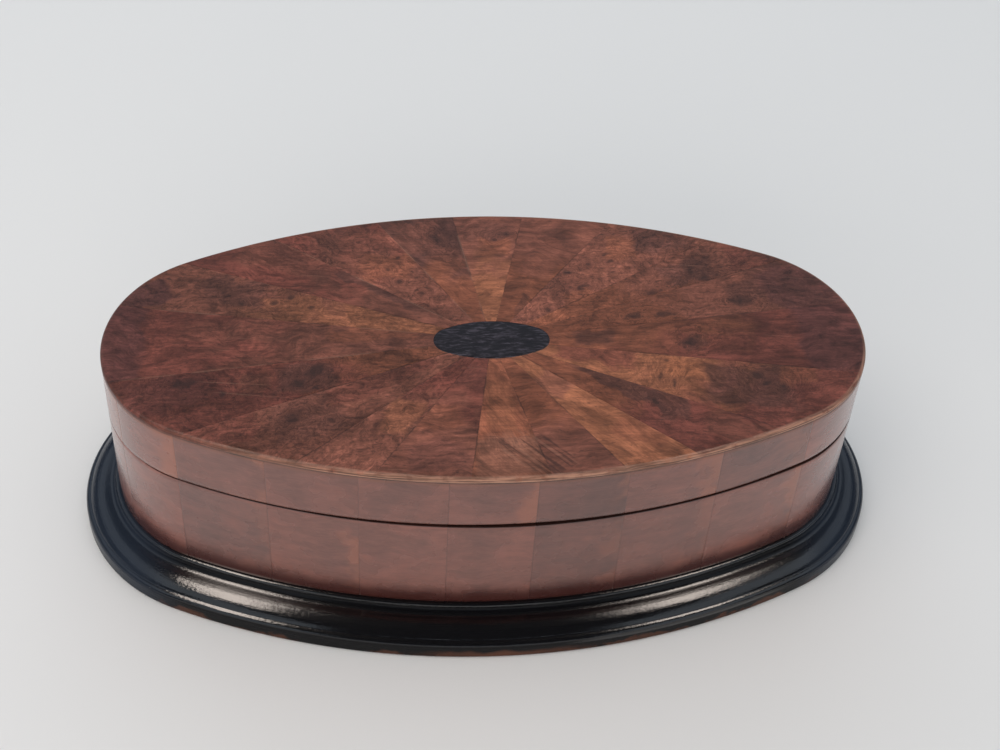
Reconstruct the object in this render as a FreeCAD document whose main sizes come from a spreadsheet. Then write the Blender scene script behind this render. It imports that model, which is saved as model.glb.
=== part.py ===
import FreeCAD, Part
import enum
import math
import os
import Sketcher

# An oval wooden box with a hinged lid. The body and the lid are rings of plain wood, covered at
# the sides with upright veneer leaves. The lid top is a fan of thick veneer wedges round an ebony
# oval. The box stands on a moulded plinth, and a pair of butt hinges joins the lid at the back.
# The origin lies under the middle of the plinth, +X runs along the box and +Y to its back.

SIZES = {
    # Plan of the box: an oval of four arcs, two round the ends and two along the sides
    "lid_length": 234.0,
    "lid_width": 118.0,
    "end_radius": 41.7,
    # Body
    "wall_height": 34.2,
    "core_thickness": 5.0,
    "side_veneer": 1.2,
    "liner_thickness": 1.6,
    "lip_rise": 3.4,
    "lip_clearance": 0.5,
    "lip_round": 0.5,
    "floor_thickness": 3.0,
    # Lid
    "seam_gap": 1.4,
    "lid_side_height": 17.9,
    "lid_board_thickness": 5.0,
    "top_veneer": 1.8,
    "edge_round": 1.2,
    "inlay_length": 35.6,
    "inlay_width": 16.8,
    "inlay_end_radius": 5.6,
    "inlay_to_right": 0.6,
    "inlay_to_front": 1.6,
    # Plinth and its moulding, from the wall outwards and down
    "plinth_height": 12.6,
    "plinth_projection": 11.5,
    "bead_flat": 0.5,
    "bead_radius": 0.8,
    "bead_drop": 0.2,
    "cove_width": 2.4,
    "cove_drop": 2.1,
    "ovolo_drop": 2.9,
    "quirk_drop": 0.3,
    "lower_bead_radius": 1.7,
    "toe_chamfer": 0.5,
    # Hinges
    "hinge_spacing": 34.0,
    "hinge_length": 16.0,
    "hinge_inset": 0.5,
    "hinge_leaf_width": 5.0,
    "hinge_leaf_thickness": 0.9,
    "hinge_leaf_play": 0.2,
    "knuckle_radius": 1.7,
    "knuckle_gap": 0.2,
    "knuckle_relief": 0.3,
    "pin_radius": 0.8,
    "pin_clearance": 0.05,
    "seat_clearance": 0.2,
    # Hinge screws
    "screw_setback": 3.4,
    "screw_spacing": 8.0,
    "screw_head_radius": 1.05,
    "screw_head_height": 0.6,
    "screw_slot_width": 0.3,
    "screw_slot_depth": 0.25,
    "screw_shank_radius": 0.55,
    "screw_length": 4.5,
    "screw_clearance": 0.05,
    # How far a cutting shape runs past what it cuts
    "cut_overrun": 2.0,
}

# Directions of the seams between the wedges, from the middle of the inlay, in degrees
SEAM_ANGLES = (
    -9.0, 7.1, 19.9, 31.4, 52.1, 76.1, 98.2, 120.1, 143.5, 158.1,
    170.8, 187.5, 201.9, 219.6, 235.6, 260.0, 282.9, 302.2, 318.5, 333.9,
)
FULL_TURN = 360.0

# Upright joints between the leaves, as shares of half the arc that the leaves cover
SIDE_JOINT_SHARES = (-1.0, -0.71, -0.428, -0.16, 0.104, 0.377, 0.679, 1.0)
END_JOINT_SHARES = (-1.0, -0.5, 0.0, 0.5, 1.0)

doc = FreeCAD.newDocument("oval_box")
sheet = doc.addObject("Spreadsheet::Sheet", "Sizes")
for row, (alias, number) in enumerate(SIZES.items(), start=1):
    sheet.set(f"A{row}", alias)
    sheet.set(f"B{row}", str(number))
    sheet.setAlias(f"B{row}", alias)
doc.recompute()

# The box's oval and the inlay's, each given by the centres of its arcs and the radius of its ends
HALF_LENGTH = "(Sizes.lid_length / 2)"
HALF_WIDTH = "(Sizes.lid_width / 2)"


def four_arc_oval(half_length, half_width, end_radius):
    """The centres of an oval's arcs: the ends' on its length, the sides' on its width."""
    end_centre = f"({half_length} - {end_radius})"
    rise = f"({half_width} - {end_radius})"
    side_radius = f"(({end_centre}^2 + {half_width}^2 - {end_radius}^2) / (2 * {rise}))"
    side_centre = f"({side_radius} - {half_width})"
    return {
        "end_centre": end_centre,
        "side_centre": side_centre,
        "end_radius": end_radius,
        "side_radius": side_radius,
        "join_angle": f"atan2({side_centre}; {end_centre})",
    }


BOX = four_arc_oval(HALF_LENGTH, HALF_WIDTH, "Sizes.end_radius")
INLAY = four_arc_oval("(Sizes.inlay_length / 2)", "(Sizes.inlay_width / 2)", "Sizes.inlay_end_radius")

# Levels above the table, and offsets of the rings' faces from the outline of the lid
RIM_LEVEL = "(Sizes.plinth_height + Sizes.wall_height)"
SEAM_LEVEL = f"({RIM_LEVEL} + Sizes.seam_gap / 2)"
LID_LEVEL = f"({RIM_LEVEL} + Sizes.seam_gap)"
VENEER_LEVEL = f"({LID_LEVEL} + Sizes.lid_side_height)"
LID_RIM_HEIGHT = "(Sizes.lid_side_height - Sizes.lid_board_thickness)"
CORE_OFFSET = "(-Sizes.side_veneer)"
LINER_OFFSET = "(-Sizes.side_veneer - Sizes.core_thickness)"
INSIDE_OFFSET = f"({LINER_OFFSET} - Sizes.liner_thickness)"
LID_INSIDE_OFFSET = f"({LINER_OFFSET} + Sizes.lip_clearance)"

# The middle of the inlay and of the fan, which the maker set a little to the front and the right
INLAY_PLACE = ("Sizes.inlay_to_right", "(-Sizes.inlay_to_front)")

# Hinge line and the members of a hinge
HINGE_LINE = f"({HALF_WIDTH} - Sizes.hinge_inset)"
KNUCKLE_LENGTH = "((Sizes.hinge_length - 2 * Sizes.knuckle_gap) / 3)"
BORE_RADIUS = "(Sizes.pin_radius + Sizes.pin_clearance)"
RELIEF_RADIUS = "(Sizes.knuckle_radius + Sizes.knuckle_relief)"
LEAF_FACE = "(Sizes.hinge_leaf_play / 2)"
LEAF_BACK = f"({LEAF_FACE} + Sizes.hinge_leaf_thickness)"

# How close two numbers are when they stand for the same place
SAME = 1e-6


class Point(enum.IntEnum):
    """The sketcher's own numbers for the points of a line or an arc."""

    START = 1
    END = 2
    CENTRE = 3


class Axis(enum.IntEnum):
    """The sketcher's own numbers for its axes, of which the first starts at the origin."""

    X = -1
    Y = -2


START, END, CENTRE = Point
X_AXIS, Y_AXIS = Axis
ORIGIN = (X_AXIS, START)


def value(expression):
    """The number that an expression over the sheet stands for."""
    result = sheet.evalExpression(expression)
    return getattr(result, "Value", result)


def bind(item, **expressions):
    """Bind properties of a document object to expressions over the sheet."""
    for name, expression in expressions.items():
        item.setExpression(name, expression)


def place(item, x="0", y="0", z="0"):
    """Bind the position of a document object."""
    for axis, expression in (("x", x), ("y", y), ("z", z)):
        item.setExpression(f"Placement.Base.{axis}", expression)


def drive(sketch, kind, where, expression):
    """Add a dimension to a sketch and bind it."""
    index = sketch.addConstraint(Sketcher.Constraint(kind, *where, value(expression)))
    sketch.setExpression(f"Constraints[{index}]", expression)


def new_body(label):
    body = doc.addObject("PartDesign::Body", label)
    body.Label = label
    return body


def new_sketch(body, name, role):
    """A sketch of a body, on the origin plane with the given role."""
    sketch = body.newObject("Sketcher::SketchObject", name)
    plane = next(item for item in body.Origin.OriginFeatures if item.Role == role)
    sketch.AttachmentSupport = [(plane, "")]
    sketch.MapMode = "FlatFace"
    return sketch


def add_oval(sketch, oval, offset):
    """Four tangent arcs, parallel to the given oval."""
    end_x = value(oval["end_centre"])
    side_y = value(oval["side_centre"])
    end_radius_bound = f"{oval['end_radius']} + {offset}"
    end_radius = value(end_radius_bound)
    side_radius = end_radius + math.hypot(end_x, side_y)
    join = math.atan2(side_y, end_x)
    normal = FreeCAD.Vector(0, 0, 1)
    arcs = (
        (end_x, 0, end_radius, -join, join),
        (0, -side_y, side_radius, join, math.pi - join),
        (-end_x, 0, end_radius, math.pi - join, math.pi + join),
        (0, side_y, side_radius, math.pi + join, 2 * math.pi - join),
    )
    placed = []
    for x, y, radius, first, last in arcs:
        circle = Part.Circle(FreeCAD.Vector(x, y, 0), normal, radius)
        placed.append(sketch.addGeometry(Part.ArcOfCircle(circle, first, last)))
    right, back, left, front = placed
    for arc, following in ((right, back), (back, left), (left, front)):
        sketch.addConstraint(Sketcher.Constraint("Tangent", arc, END, following, START))
    sketch.addConstraint(Sketcher.Constraint("Horizontal", front, START, front, END))
    sketch.addConstraint(Sketcher.Constraint("Vertical", right, START, right, END))
    sketch.addConstraint(Sketcher.Constraint("PointOnObject", right, CENTRE, X_AXIS))
    sketch.addConstraint(Sketcher.Constraint("Symmetric", right, CENTRE, left, CENTRE, *ORIGIN))
    sketch.addConstraint(Sketcher.Constraint("PointOnObject", front, CENTRE, Y_AXIS))
    sketch.addConstraint(Sketcher.Constraint("Symmetric", front, CENTRE, back, CENTRE, *ORIGIN))
    drive(sketch, "DistanceX", (*ORIGIN, right, CENTRE), oval["end_centre"])
    drive(sketch, "DistanceY", (*ORIGIN, front, CENTRE), oval["side_centre"])
    drive(sketch, "Radius", (right,), end_radius_bound)


def oval_body(label, level, height, ovals, middle=("0", "0")):
    """A board, or with two ovals a ring, padded up from the given level round its middle."""
    body = new_body(label)
    sketch = new_sketch(body, label + "_plan", "XY_Plane")
    for oval, offset in ovals:
        add_oval(sketch, oval, offset)
    pad = body.newObject("PartDesign::Pad", label + "_pad")
    pad.Profile = sketch
    bind(pad, Length=height)
    place(body, *middle, level)
    body.Tip = pad
    doc.recompute()
    return body


def add_contour(sketch, corners):
    """A closed contour of lines and arcs in a sketch.

    Each corner is a pair of expressions and the edge that follows it: None for a line, or an arc
    whose centre stands straight above or below its first or its last corner.
    """
    points = [FreeCAD.Vector(value(x), value(y), 0) for x, y, edge in corners]
    ends = []
    for number, (x, y, edge) in enumerate(corners):
        first = points[number]
        last = points[(number + 1) % len(points)]
        if edge is None:
            ends.append((sketch.addGeometry(Part.LineSegment(first, last)), START, END))
            continue
        upright, other = (first, last) if edge == "first" else (last, first)
        across = other.x - upright.x
        centre_y = (across ** 2 + other.y ** 2 - upright.y ** 2) / (2 * (other.y - upright.y))
        centre = FreeCAD.Vector(upright.x, centre_y, 0)
        begin = math.atan2(first.y - centre.y, first.x - centre.x)
        finish = math.atan2(last.y - centre.y, last.x - centre.x)
        forward = (finish - begin) % (2 * math.pi) < math.pi
        circle = Part.Circle(centre, FreeCAD.Vector(0, 0, 1), first.distanceToPoint(centre))
        angles = (begin, finish) if forward else (finish, begin)
        arc = sketch.addGeometry(Part.ArcOfCircle(circle, *angles))
        first_end, last_end = (START, END) if forward else (END, START)
        ends.append((arc, first_end, last_end))
        upright_end = first_end if edge == "first" else last_end
        sketch.addConstraint(Sketcher.Constraint("Vertical", arc, CENTRE, arc, upright_end))
    for number, (x, y, edge) in enumerate(corners):
        before, first_before, last_before = ends[number - 1]
        item, first_end, last_end = ends[number]
        sketch.addConstraint(Sketcher.Constraint("Coincident", before, last_before, item, first_end))
        drive(sketch, "DistanceX", (*ORIGIN, item, first_end), x)
        drive(sketch, "DistanceY", (*ORIGIN, item, first_end), y)


def moulding_cutter():
    """Corners of what a cutter takes off the plinth's edge, at the back of the box."""
    out = f"({HALF_WIDTH} + Sizes.bead_flat)"
    bead = f"({out} + Sizes.bead_radius)"
    cove = f"({bead} + Sizes.cove_width)"
    edge = f"({HALF_WIDTH} + Sizes.plinth_projection)"
    ovolo = f"({edge} - Sizes.lower_bead_radius)"
    toe = f"({edge} - Sizes.toe_chamfer)"
    clear = f"({edge} + Sizes.cut_overrun)"
    bead_level = "(Sizes.plinth_height - Sizes.bead_radius)"
    cove_top = f"({bead_level} - Sizes.bead_drop)"
    cove_level = f"({cove_top} - Sizes.cove_drop)"
    ovolo_level = f"({cove_level} - Sizes.ovolo_drop)"
    quirk_level = f"({ovolo_level} - Sizes.quirk_drop)"
    foot_level = f"({quirk_level} - Sizes.lower_bead_radius)"
    above = "(Sizes.plinth_height + Sizes.cut_overrun)"
    below = "(-Sizes.cut_overrun)"
    return (
        (out, above, None),
        (out, "Sizes.plinth_height", "first"),
        (bead, bead_level, None),
        (bead, cove_top, "last"),
        (cove, cove_level, "first"),
        (ovolo, ovolo_level, None),
        (ovolo, quirk_level, "first"),
        (edge, foot_level, None),
        (edge, "Sizes.toe_chamfer", None),
        (toe, "0", None),
        (toe, below, None),
        (clear, below, None),
        (clear, above, None),
    )


def moulded_plinth(label):
    """An oval board, moulded all round by a cutter that follows its edge."""
    body = oval_body(label, "0", "Sizes.plinth_height", [(BOX, "Sizes.plinth_projection")])
    path = new_sketch(body, label + "_path", "XY_Plane")
    add_oval(path, BOX, "Sizes.plinth_projection")
    profile = new_sketch(body, label + "_cutter", "YZ_Plane")
    add_contour(profile, moulding_cutter())
    doc.recompute()
    pipe = body.newObject("PartDesign::SubtractivePipe", label + "_moulding")
    pipe.Profile = profile
    pipe.Spine = (path, [f"Edge{number}" for number in range(1, 5)])
    body.Tip = pipe
    doc.recompute()
    return body


def round_top(body, oval, offset, radius):
    """Round the upper edge of a padded board or ring along one of its ovals."""
    pad = body.Tip
    top = pad.Shape.BoundBox.ZMax
    end = value(f"{oval['end_radius']} + {offset}")
    side = value(f"{oval['side_radius']} + {offset}")
    edges = []
    for number, edge in enumerate(pad.Shape.Edges, start=1):
        on_top = math.isclose(edge.BoundBox.ZMin, top, abs_tol=SAME)
        if on_top and min(abs(edge.Curve.Radius - end), abs(edge.Curve.Radius - side)) < SAME:
            edges.append(f"Edge{number}")
    fillet = body.newObject("PartDesign::Fillet", body.Label + "_rounding")
    fillet.Base = (pad, edges)
    bind(fillet, Radius=radius)
    body.Tip = fillet
    doc.recompute()


def top_plate(inlay):
    """The lid's top veneer before its seams: a board with a worn, rounded edge, cut for the inlay."""
    body = oval_body("top_board", VENEER_LEVEL, "Sizes.top_veneer", [(BOX, "0")])
    round_top(body, BOX, "0", "Sizes.edge_round")
    return cut("top_plate", body, inlay)


def liner():
    """The inner wall, from the floor up past the rim, where its rounded top guides the lid."""
    level = "Sizes.plinth_height + Sizes.floor_thickness"
    height = "Sizes.wall_height - Sizes.floor_thickness + Sizes.lip_rise"
    body = oval_body("body_liner", level, height, [(BOX, LINER_OFFSET), (BOX, INSIDE_OFFSET)])
    round_top(body, BOX, LINER_OFFSET, "Sizes.lip_round")
    return body


def sector(name, radius, height, first_angle, last_angle):
    """An upright wedge of a cylinder between two directions."""
    piece = doc.addObject("Part::Cylinder", name)
    bind(piece, Radius=radius, Height=height, Angle=f"({last_angle}) - ({first_angle})")
    piece.setExpression("Placement.Rotation.Angle", first_angle)
    return piece


def cut(name, base, tool):
    piece = doc.addObject("Part::Cut", name)
    piece.Base = base
    piece.Tool = tool
    return piece


def fuse(name, *pieces):
    piece = doc.addObject("Part::MultiFuse", name)
    piece.Shapes = list(pieces)
    return piece


def group(label, pieces):
    """Separate solids that share a node."""
    piece = doc.addObject("Part::Compound", label)
    piece.Links = list(pieces)
    piece.Label = label
    return piece


def top_wedges(plate):
    """The plate parted along its seams into wedges."""
    wedges = []
    following = SEAM_ANGLES[1:] + (SEAM_ANGLES[0] + FULL_TURN,)
    for number, (first, last) in enumerate(zip(SEAM_ANGLES, following), start=1):
        label = f"top_wedge_{number:02d}"
        span = (f"{first} deg", f"{last} deg")
        pie = sector(label + "_sector", "Sizes.lid_length", "Sizes.top_veneer", *span)
        place(pie, *INLAY_PLACE, VENEER_LEVEL)
        wedge = doc.addObject("Part::Common", label)
        wedge.Base = plate
        wedge.Tool = pie
        wedge.Label = label
        wedges.append(wedge)
    return wedges


# The four arcs of the outline: centre, radius, direction of the middle, half angle and joints
SIDE_HALF = f"(90 deg - {BOX['join_angle']})"
RUNS = {
    "front": ("0", BOX["side_centre"], BOX["side_radius"], "270 deg", SIDE_HALF, SIDE_JOINT_SHARES),
    "right": (BOX["end_centre"], "0", BOX["end_radius"], "0 deg", BOX["join_angle"], END_JOINT_SHARES),
    "back": ("0", f"-{BOX['side_centre']}", BOX["side_radius"], "90 deg", SIDE_HALF, SIDE_JOINT_SHARES),
    "left": (f"-{BOX['end_centre']}", "0", BOX["end_radius"], "180 deg", BOX["join_angle"], END_JOINT_SHARES),
}


def leaf_ring(prefix, level, height, seats):
    """Upright veneer leaves all round the outline, one node for each of its four arcs."""
    groups = []
    for run, (x, y, radius, middle, half, shares) in RUNS.items():
        label = f"{prefix}_leaves_{run}"
        hollow = doc.addObject("Part::Cylinder", label + "_hollow")
        bind(hollow, Radius=f"{radius} - Sizes.side_veneer", Height=f"{height} + 2 * Sizes.cut_overrun")
        place(hollow, x, y, f"{level} - Sizes.cut_overrun")
        leaves = []
        for number, (first, last) in enumerate(zip(shares, shares[1:]), start=1):
            name = f"{label}_{number}"
            first_angle = f"{middle} + ({first}) * {half}"
            last_angle = f"{middle} + ({last}) * {half}"
            blank = sector(name + "_blank", radius, height, first_angle, last_angle)
            place(blank, x, y, level)
            leaf = cut(name, blank, hollow)
            if run == "back":
                leaf = cut(name + "_notched", leaf, seats)
            leaves.append(leaf)
        groups.append(group(label, leaves))
    return groups


def bar(name, radius, length, x):
    """A round bar on the hinge line, centred on the given place along it."""
    piece = doc.addObject("Part::Cylinder", name)
    piece.Placement.Rotation = FreeCAD.Rotation(FreeCAD.Vector(0, 1, 0), 90)
    bind(piece, Radius=radius, Height=length)
    place(piece, f"{x} - ({length}) / 2", HINGE_LINE, SEAM_LEVEL)
    return piece


def hinge_seat(name, x):
    """The room that a hinge takes up in the edges of body and lid."""
    plate = doc.addObject("Part::Box", name + "_plate")
    length = "(Sizes.hinge_length + 2 * Sizes.seat_clearance)"
    depth = "(Sizes.hinge_leaf_width + Sizes.seat_clearance)"
    bind(plate, Length=length, Width=f"{depth} + {RELIEF_RADIUS}", Height=f"2 * {LEAF_BACK}")
    place(plate, f"{x} - {length} / 2", f"{HINGE_LINE} - {depth}", f"{SEAM_LEVEL} - {LEAF_BACK}")
    return fuse(name, plate, bar(name + "_barrel", RELIEF_RADIUS, length, x))


def screw(name, x, upward, clearance="0"):
    """A countersunk screw whose head lies in a leaf's face, or with a clearance the hole for it."""
    head = doc.addObject("Part::Cone", name + "_head")
    shank = doc.addObject("Part::Cylinder", name + "_shank")
    shank_radius = f"Sizes.screw_shank_radius + {clearance}"
    bind(head, Radius1=f"Sizes.screw_head_radius + {clearance}", Radius2=shank_radius)
    bind(head, Height="Sizes.screw_head_height")
    bind(shank, Radius=shank_radius, Height=f"Sizes.screw_length + {clearance}")
    sign = "+" if upward else "-"
    for piece in (head, shank):
        if not upward:
            piece.Placement.Rotation = FreeCAD.Rotation(FreeCAD.Vector(1, 0, 0), 180)
        place(piece, x, f"{HINGE_LINE} - Sizes.screw_setback", f"{SEAM_LEVEL} {sign} {LEAF_FACE}")
    return fuse(name, head, shank)


def slotted_screw(name, x, upward):
    """A screw with a slot across its head."""
    slot = doc.addObject("Part::Box", name + "_slot")
    length = "(2 * (Sizes.screw_head_radius + Sizes.cut_overrun))"
    height = "(Sizes.screw_slot_depth + Sizes.cut_overrun)"
    bind(slot, Length=length, Width="Sizes.screw_slot_width", Height=height)
    y = f"{HINGE_LINE} - Sizes.screw_setback - Sizes.screw_slot_width / 2"
    lid_slot = f"{SEAM_LEVEL} + {LEAF_FACE} - Sizes.cut_overrun"
    body_slot = f"{SEAM_LEVEL} - {LEAF_FACE} - Sizes.screw_slot_depth"
    place(slot, f"{x} - {length} / 2", y, lid_slot if upward else body_slot)
    return cut(name, screw(name + "_plain", x, upward), slot)


def hinge_leaf(label, x, upward):
    """A leaf and its knuckles: the body's leaf has the outer two and the lid's the middle one."""
    plate = doc.addObject("Part::Box", label + "_plate")
    bind(plate, Length="Sizes.hinge_length", Width="Sizes.hinge_leaf_width")
    bind(plate, Height="Sizes.hinge_leaf_thickness")
    level = f"{SEAM_LEVEL} + {LEAF_FACE}" if upward else f"{SEAM_LEVEL} - {LEAF_BACK}"
    place(plate, f"{x} - Sizes.hinge_length / 2", f"{HINGE_LINE} - Sizes.hinge_leaf_width", level)
    pitch = f"({KNUCKLE_LENGTH} + Sizes.knuckle_gap)"
    outer = (f"({x} - {pitch})", f"({x} + {pitch})")
    own, other = ((x,), outer) if upward else (outer, (x,))
    relief_length = f"({KNUCKLE_LENGTH} + 2 * Sizes.knuckle_gap)"
    for number, at in enumerate(other):
        relief = bar(f"{label}_relief_{number}", RELIEF_RADIUS, relief_length, at)
        plate = cut(f"{label}_relieved_{number}", plate, relief)
    knuckles = [
        bar(f"{label}_knuckle_{number}", "Sizes.knuckle_radius", KNUCKLE_LENGTH, at)
        for number, at in enumerate(own)
    ]
    solid = fuse(label + "_solid", plate, *knuckles)
    bore = bar(label + "_bore", BORE_RADIUS, "Sizes.hinge_length + Sizes.cut_overrun", x)
    holes = [
        screw(f"{label}_hole_{number}", at, upward, "Sizes.screw_clearance")
        for number, at in enumerate(screw_places(x))
    ]
    leaf = cut(label, solid, fuse(label + "_holes", bore, *holes))
    leaf.Label = label
    return leaf, holes


def screw_places(x):
    return (f"({x} - Sizes.screw_spacing / 2)", f"({x} + Sizes.screw_spacing / 2)")


HINGES = {"left": "(-Sizes.hinge_spacing / 2)", "right": "(Sizes.hinge_spacing / 2)"}
seats = fuse("hinge_seats", *[hinge_seat(f"hinge_{side}_seat", x) for side, x in HINGES.items()])

parts = []
pilot_holes = {"body": [], "lid": []}
screws = {"body": [], "lid": []}
for side, x in HINGES.items():
    for owner, upward in (("body", False), ("lid", True)):
        leaf, holes = hinge_leaf(f"hinge_{side}_{owner}_leaf", x, upward)
        parts.append(leaf)
        pilot_holes[owner] += holes
        for number, at in enumerate(screw_places(x)):
            screws[owner].append(slotted_screw(f"{owner}_screw_{side}_{number}", at, upward))
    pin = bar(f"hinge_{side}_pin", "Sizes.pin_radius", "Sizes.hinge_length", x)
    pin.Label = f"hinge_{side}_pin"
    parts.append(pin)
for owner, pieces in screws.items():
    parts.append(group(f"{owner}_hinge_screws", pieces))

parts.append(moulded_plinth("base_plinth"))
parts.append(oval_body("floor_panel", "Sizes.plinth_height", "Sizes.floor_thickness", [(BOX, LINER_OFFSET)]))
parts.append(liner())
rings = {
    "body_wall": ("body", "Sizes.plinth_height", "Sizes.wall_height", LINER_OFFSET),
    "lid_rim": ("lid", LID_LEVEL, LID_RIM_HEIGHT, LID_INSIDE_OFFSET),
}
for label, (owner, level, height, inside) in rings.items():
    blank = oval_body(label + "_blank", level, height, [(BOX, CORE_OFFSET), (BOX, inside)])
    ring = cut(label, blank, fuse(label + "_cuts", seats, *pilot_holes[owner]))
    ring.Label = label
    parts.append(ring)
board_level = f"{LID_LEVEL} + {LID_RIM_HEIGHT}"
parts.append(oval_body("lid_board", board_level, "Sizes.lid_board_thickness", [(BOX, CORE_OFFSET)]))
parts += leaf_ring("body", "Sizes.plinth_height", "Sizes.wall_height", seats)
parts += leaf_ring("lid", LID_LEVEL, "Sizes.lid_side_height", seats)
inlay = oval_body("centre_oval", VENEER_LEVEL, "Sizes.top_veneer", [(INLAY, "0")], INLAY_PLACE)
parts += [inlay, *top_wedges(top_plate(inlay))]
doc.recompute()

# Nothing is written unless the whole model is sound
for item in doc.Objects:
    if "Invalid" in item.State or "Error" in item.State:
        raise RuntimeError(f"{item.Name} failed: {item.State}")
for item in parts:
    if item.Shape.isNull() or not item.Shape.isValid() or not item.Shape.Solids:
        raise RuntimeError(f"{item.Label} has no sound shape")

os.makedirs("parts", exist_ok=True)
for item in parts:
    item.Shape.exportStep(os.path.join("parts", item.Label + ".step"))
    print(item.Label, len(item.Shape.Solids), round(item.Shape.Volume, 2))
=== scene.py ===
import math
from collections import namedtuple
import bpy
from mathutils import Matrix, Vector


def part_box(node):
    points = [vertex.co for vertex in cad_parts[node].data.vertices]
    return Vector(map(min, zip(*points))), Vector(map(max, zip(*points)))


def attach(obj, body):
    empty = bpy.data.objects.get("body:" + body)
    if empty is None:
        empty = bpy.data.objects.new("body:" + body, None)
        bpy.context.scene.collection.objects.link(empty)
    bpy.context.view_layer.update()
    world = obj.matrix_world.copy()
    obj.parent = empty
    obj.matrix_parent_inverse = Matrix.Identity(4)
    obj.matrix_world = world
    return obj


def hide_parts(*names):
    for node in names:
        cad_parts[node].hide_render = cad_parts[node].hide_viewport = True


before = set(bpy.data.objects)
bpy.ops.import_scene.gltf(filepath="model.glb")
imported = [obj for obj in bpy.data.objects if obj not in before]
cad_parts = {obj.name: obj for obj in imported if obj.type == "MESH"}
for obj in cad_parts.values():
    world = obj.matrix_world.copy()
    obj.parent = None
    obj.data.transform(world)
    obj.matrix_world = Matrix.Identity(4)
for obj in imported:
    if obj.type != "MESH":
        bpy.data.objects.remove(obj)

from types import SimpleNamespace

import bmesh
import bpy
import numpy as np
from mathutils import Matrix, Vector

# The looks of an oval wooden box: veneer wedges and leaves with their figure, a moulded black
# plinth, plain wood inside and brass hinges. Shapes are worked out in millimetres.
MM = 0.001
LOW, HIGH = 0, 1
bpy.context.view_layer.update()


def corner(node, end):
    """The lowest or the highest corner of a CAD node, in millimetres."""
    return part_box(node)[end] / MM


# Outline and levels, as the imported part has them
LID_HALF_LENGTH = corner("lid_leaves_right", HIGH).x
LID_HALF_WIDTH = corner("lid_leaves_back", HIGH).y
END_RADIUS = 41.7
INLAY_HALF = (corner("centre_oval", HIGH) - corner("centre_oval", LOW)) / 2
HUB = (corner("centre_oval", HIGH) + corner("centre_oval", LOW)) / 2
INLAY_END_RADIUS = 5.6
PLINTH_CORNER = corner("base_plinth", HIGH)
PLINTH_TOP = PLINTH_CORNER.z
PLINTH_OUT = min(PLINTH_CORNER.x - LID_HALF_LENGTH, PLINTH_CORNER.y - LID_HALF_WIDTH)
BODY_RIM = corner("body_leaves_front", HIGH).z
LID_EDGE = corner("lid_leaves_front", LOW).z
VENEER_LEVEL = corner("centre_oval", LOW).z
TOP = corner("centre_oval", HIGH).z

# Directions of the fan's seams from the middle of the inlay, and joints of the side leaves
SEAM_ANGLES = (
    -9.0, 7.1, 19.9, 31.4, 52.1, 76.1, 98.2, 120.1, 143.5, 158.1,
    170.8, 187.5, 201.9, 219.6, 235.6, 260.0, 282.9, 302.2, 318.5, 333.9,
)
FULL_TURN = 360.0
SIDE_JOINT_SHARES = (-1.0, -0.71, -0.428, -0.16, 0.104, 0.377, 0.679, 1.0)
END_JOINT_SHARES = (-1.0, -0.5, 0.0, 0.5, 1.0)
SIDE_VENEER = 1.2
EDGE_ROUND = 1.2

# Room for the hinges in the back leaves: where along the back, how long and how deep
HINGE_PLACE = 17.0
HINGE_ROOM = 8.2
HINGE_DEPTH = 2.0
HINGE_LEVEL = (BODY_RIM + LID_EDGE) / 2


class Oval:
    """An oval of four arcs, two round its ends and two along its sides, with its parallels."""

    def __init__(self, half_length, half_width, end_radius):
        self.end_centre = half_length - end_radius
        self.end_radius = end_radius
        rise = half_width - end_radius
        self.side_radius = (self.end_centre ** 2 + half_width ** 2 - end_radius ** 2) / (2 * rise)
        self.side_centre = self.side_radius - half_width
        self.join = math.atan2(self.side_centre, self.end_centre)

    def reach(self, angle, offset=0.0, x=0.0, y=0.0):
        """How far a parallel of the oval lies from a place within it, in the given directions."""
        along = np.cos(angle)
        across = np.sin(angle)

        def leave(centre_x, centre_y, radius):
            away_x = x - centre_x
            away_y = y - centre_y
            half = away_x * along + away_y * across
            return np.sqrt((radius + offset) ** 2 - away_x ** 2 - away_y ** 2 + half ** 2) - half

        front = leave(0.0, self.side_centre, self.side_radius)
        back = leave(0.0, -self.side_centre, self.side_radius)
        to_side = np.minimum(front, back)
        side_x = x + to_side * along
        side_y = y + to_side * across
        at_end = np.arctan2(np.abs(side_y), np.abs(side_x) - self.end_centre) < self.join
        end_x = np.where(side_x > 0, self.end_centre, -self.end_centre)
        radius = np.where(at_end, self.end_radius, self.side_radius)
        to_end = leave(np.where(at_end, end_x, 0.0), 0.0, radius)
        return np.where(at_end, to_end, to_side)

    def arcs(self):
        """Name, centre, radius, and first and last direction of each arc, anticlockwise."""
        join = self.join
        return {
            "right": (self.end_centre, 0, self.end_radius, -join, join),
            "back": (0, -self.side_centre, self.side_radius, join, math.pi - join),
            "left": (-self.end_centre, 0, self.end_radius, math.pi - join, math.pi + join),
            "front": (0, self.side_centre, self.side_radius, math.pi + join, 2 * math.pi - join),
        }

    def ring(self, step):
        """Points all round the oval, the directions outwards, and the way along it."""
        points = []
        normals = []
        ways = []
        way = 0.0
        for x, y, radius, first, last in self.arcs().values():
            count = math.ceil(radius * (last - first) / step)
            angles = np.linspace(first, last, count, endpoint=False)
            out = np.stack([np.cos(angles), np.sin(angles)], 1)
            points.append(np.array([x, y]) + radius * out)
            normals.append(out)
            ways.append(way + radius * (angles - first))
            way += radius * (last - first)
        return np.concatenate(points), np.concatenate(normals), np.concatenate(ways)


BOX = Oval(LID_HALF_LENGTH, LID_HALF_WIDTH, END_RADIUS)
INLAY = Oval(INLAY_HALF.x, INLAY_HALF.y, INLAY_END_RADIUS)


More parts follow.
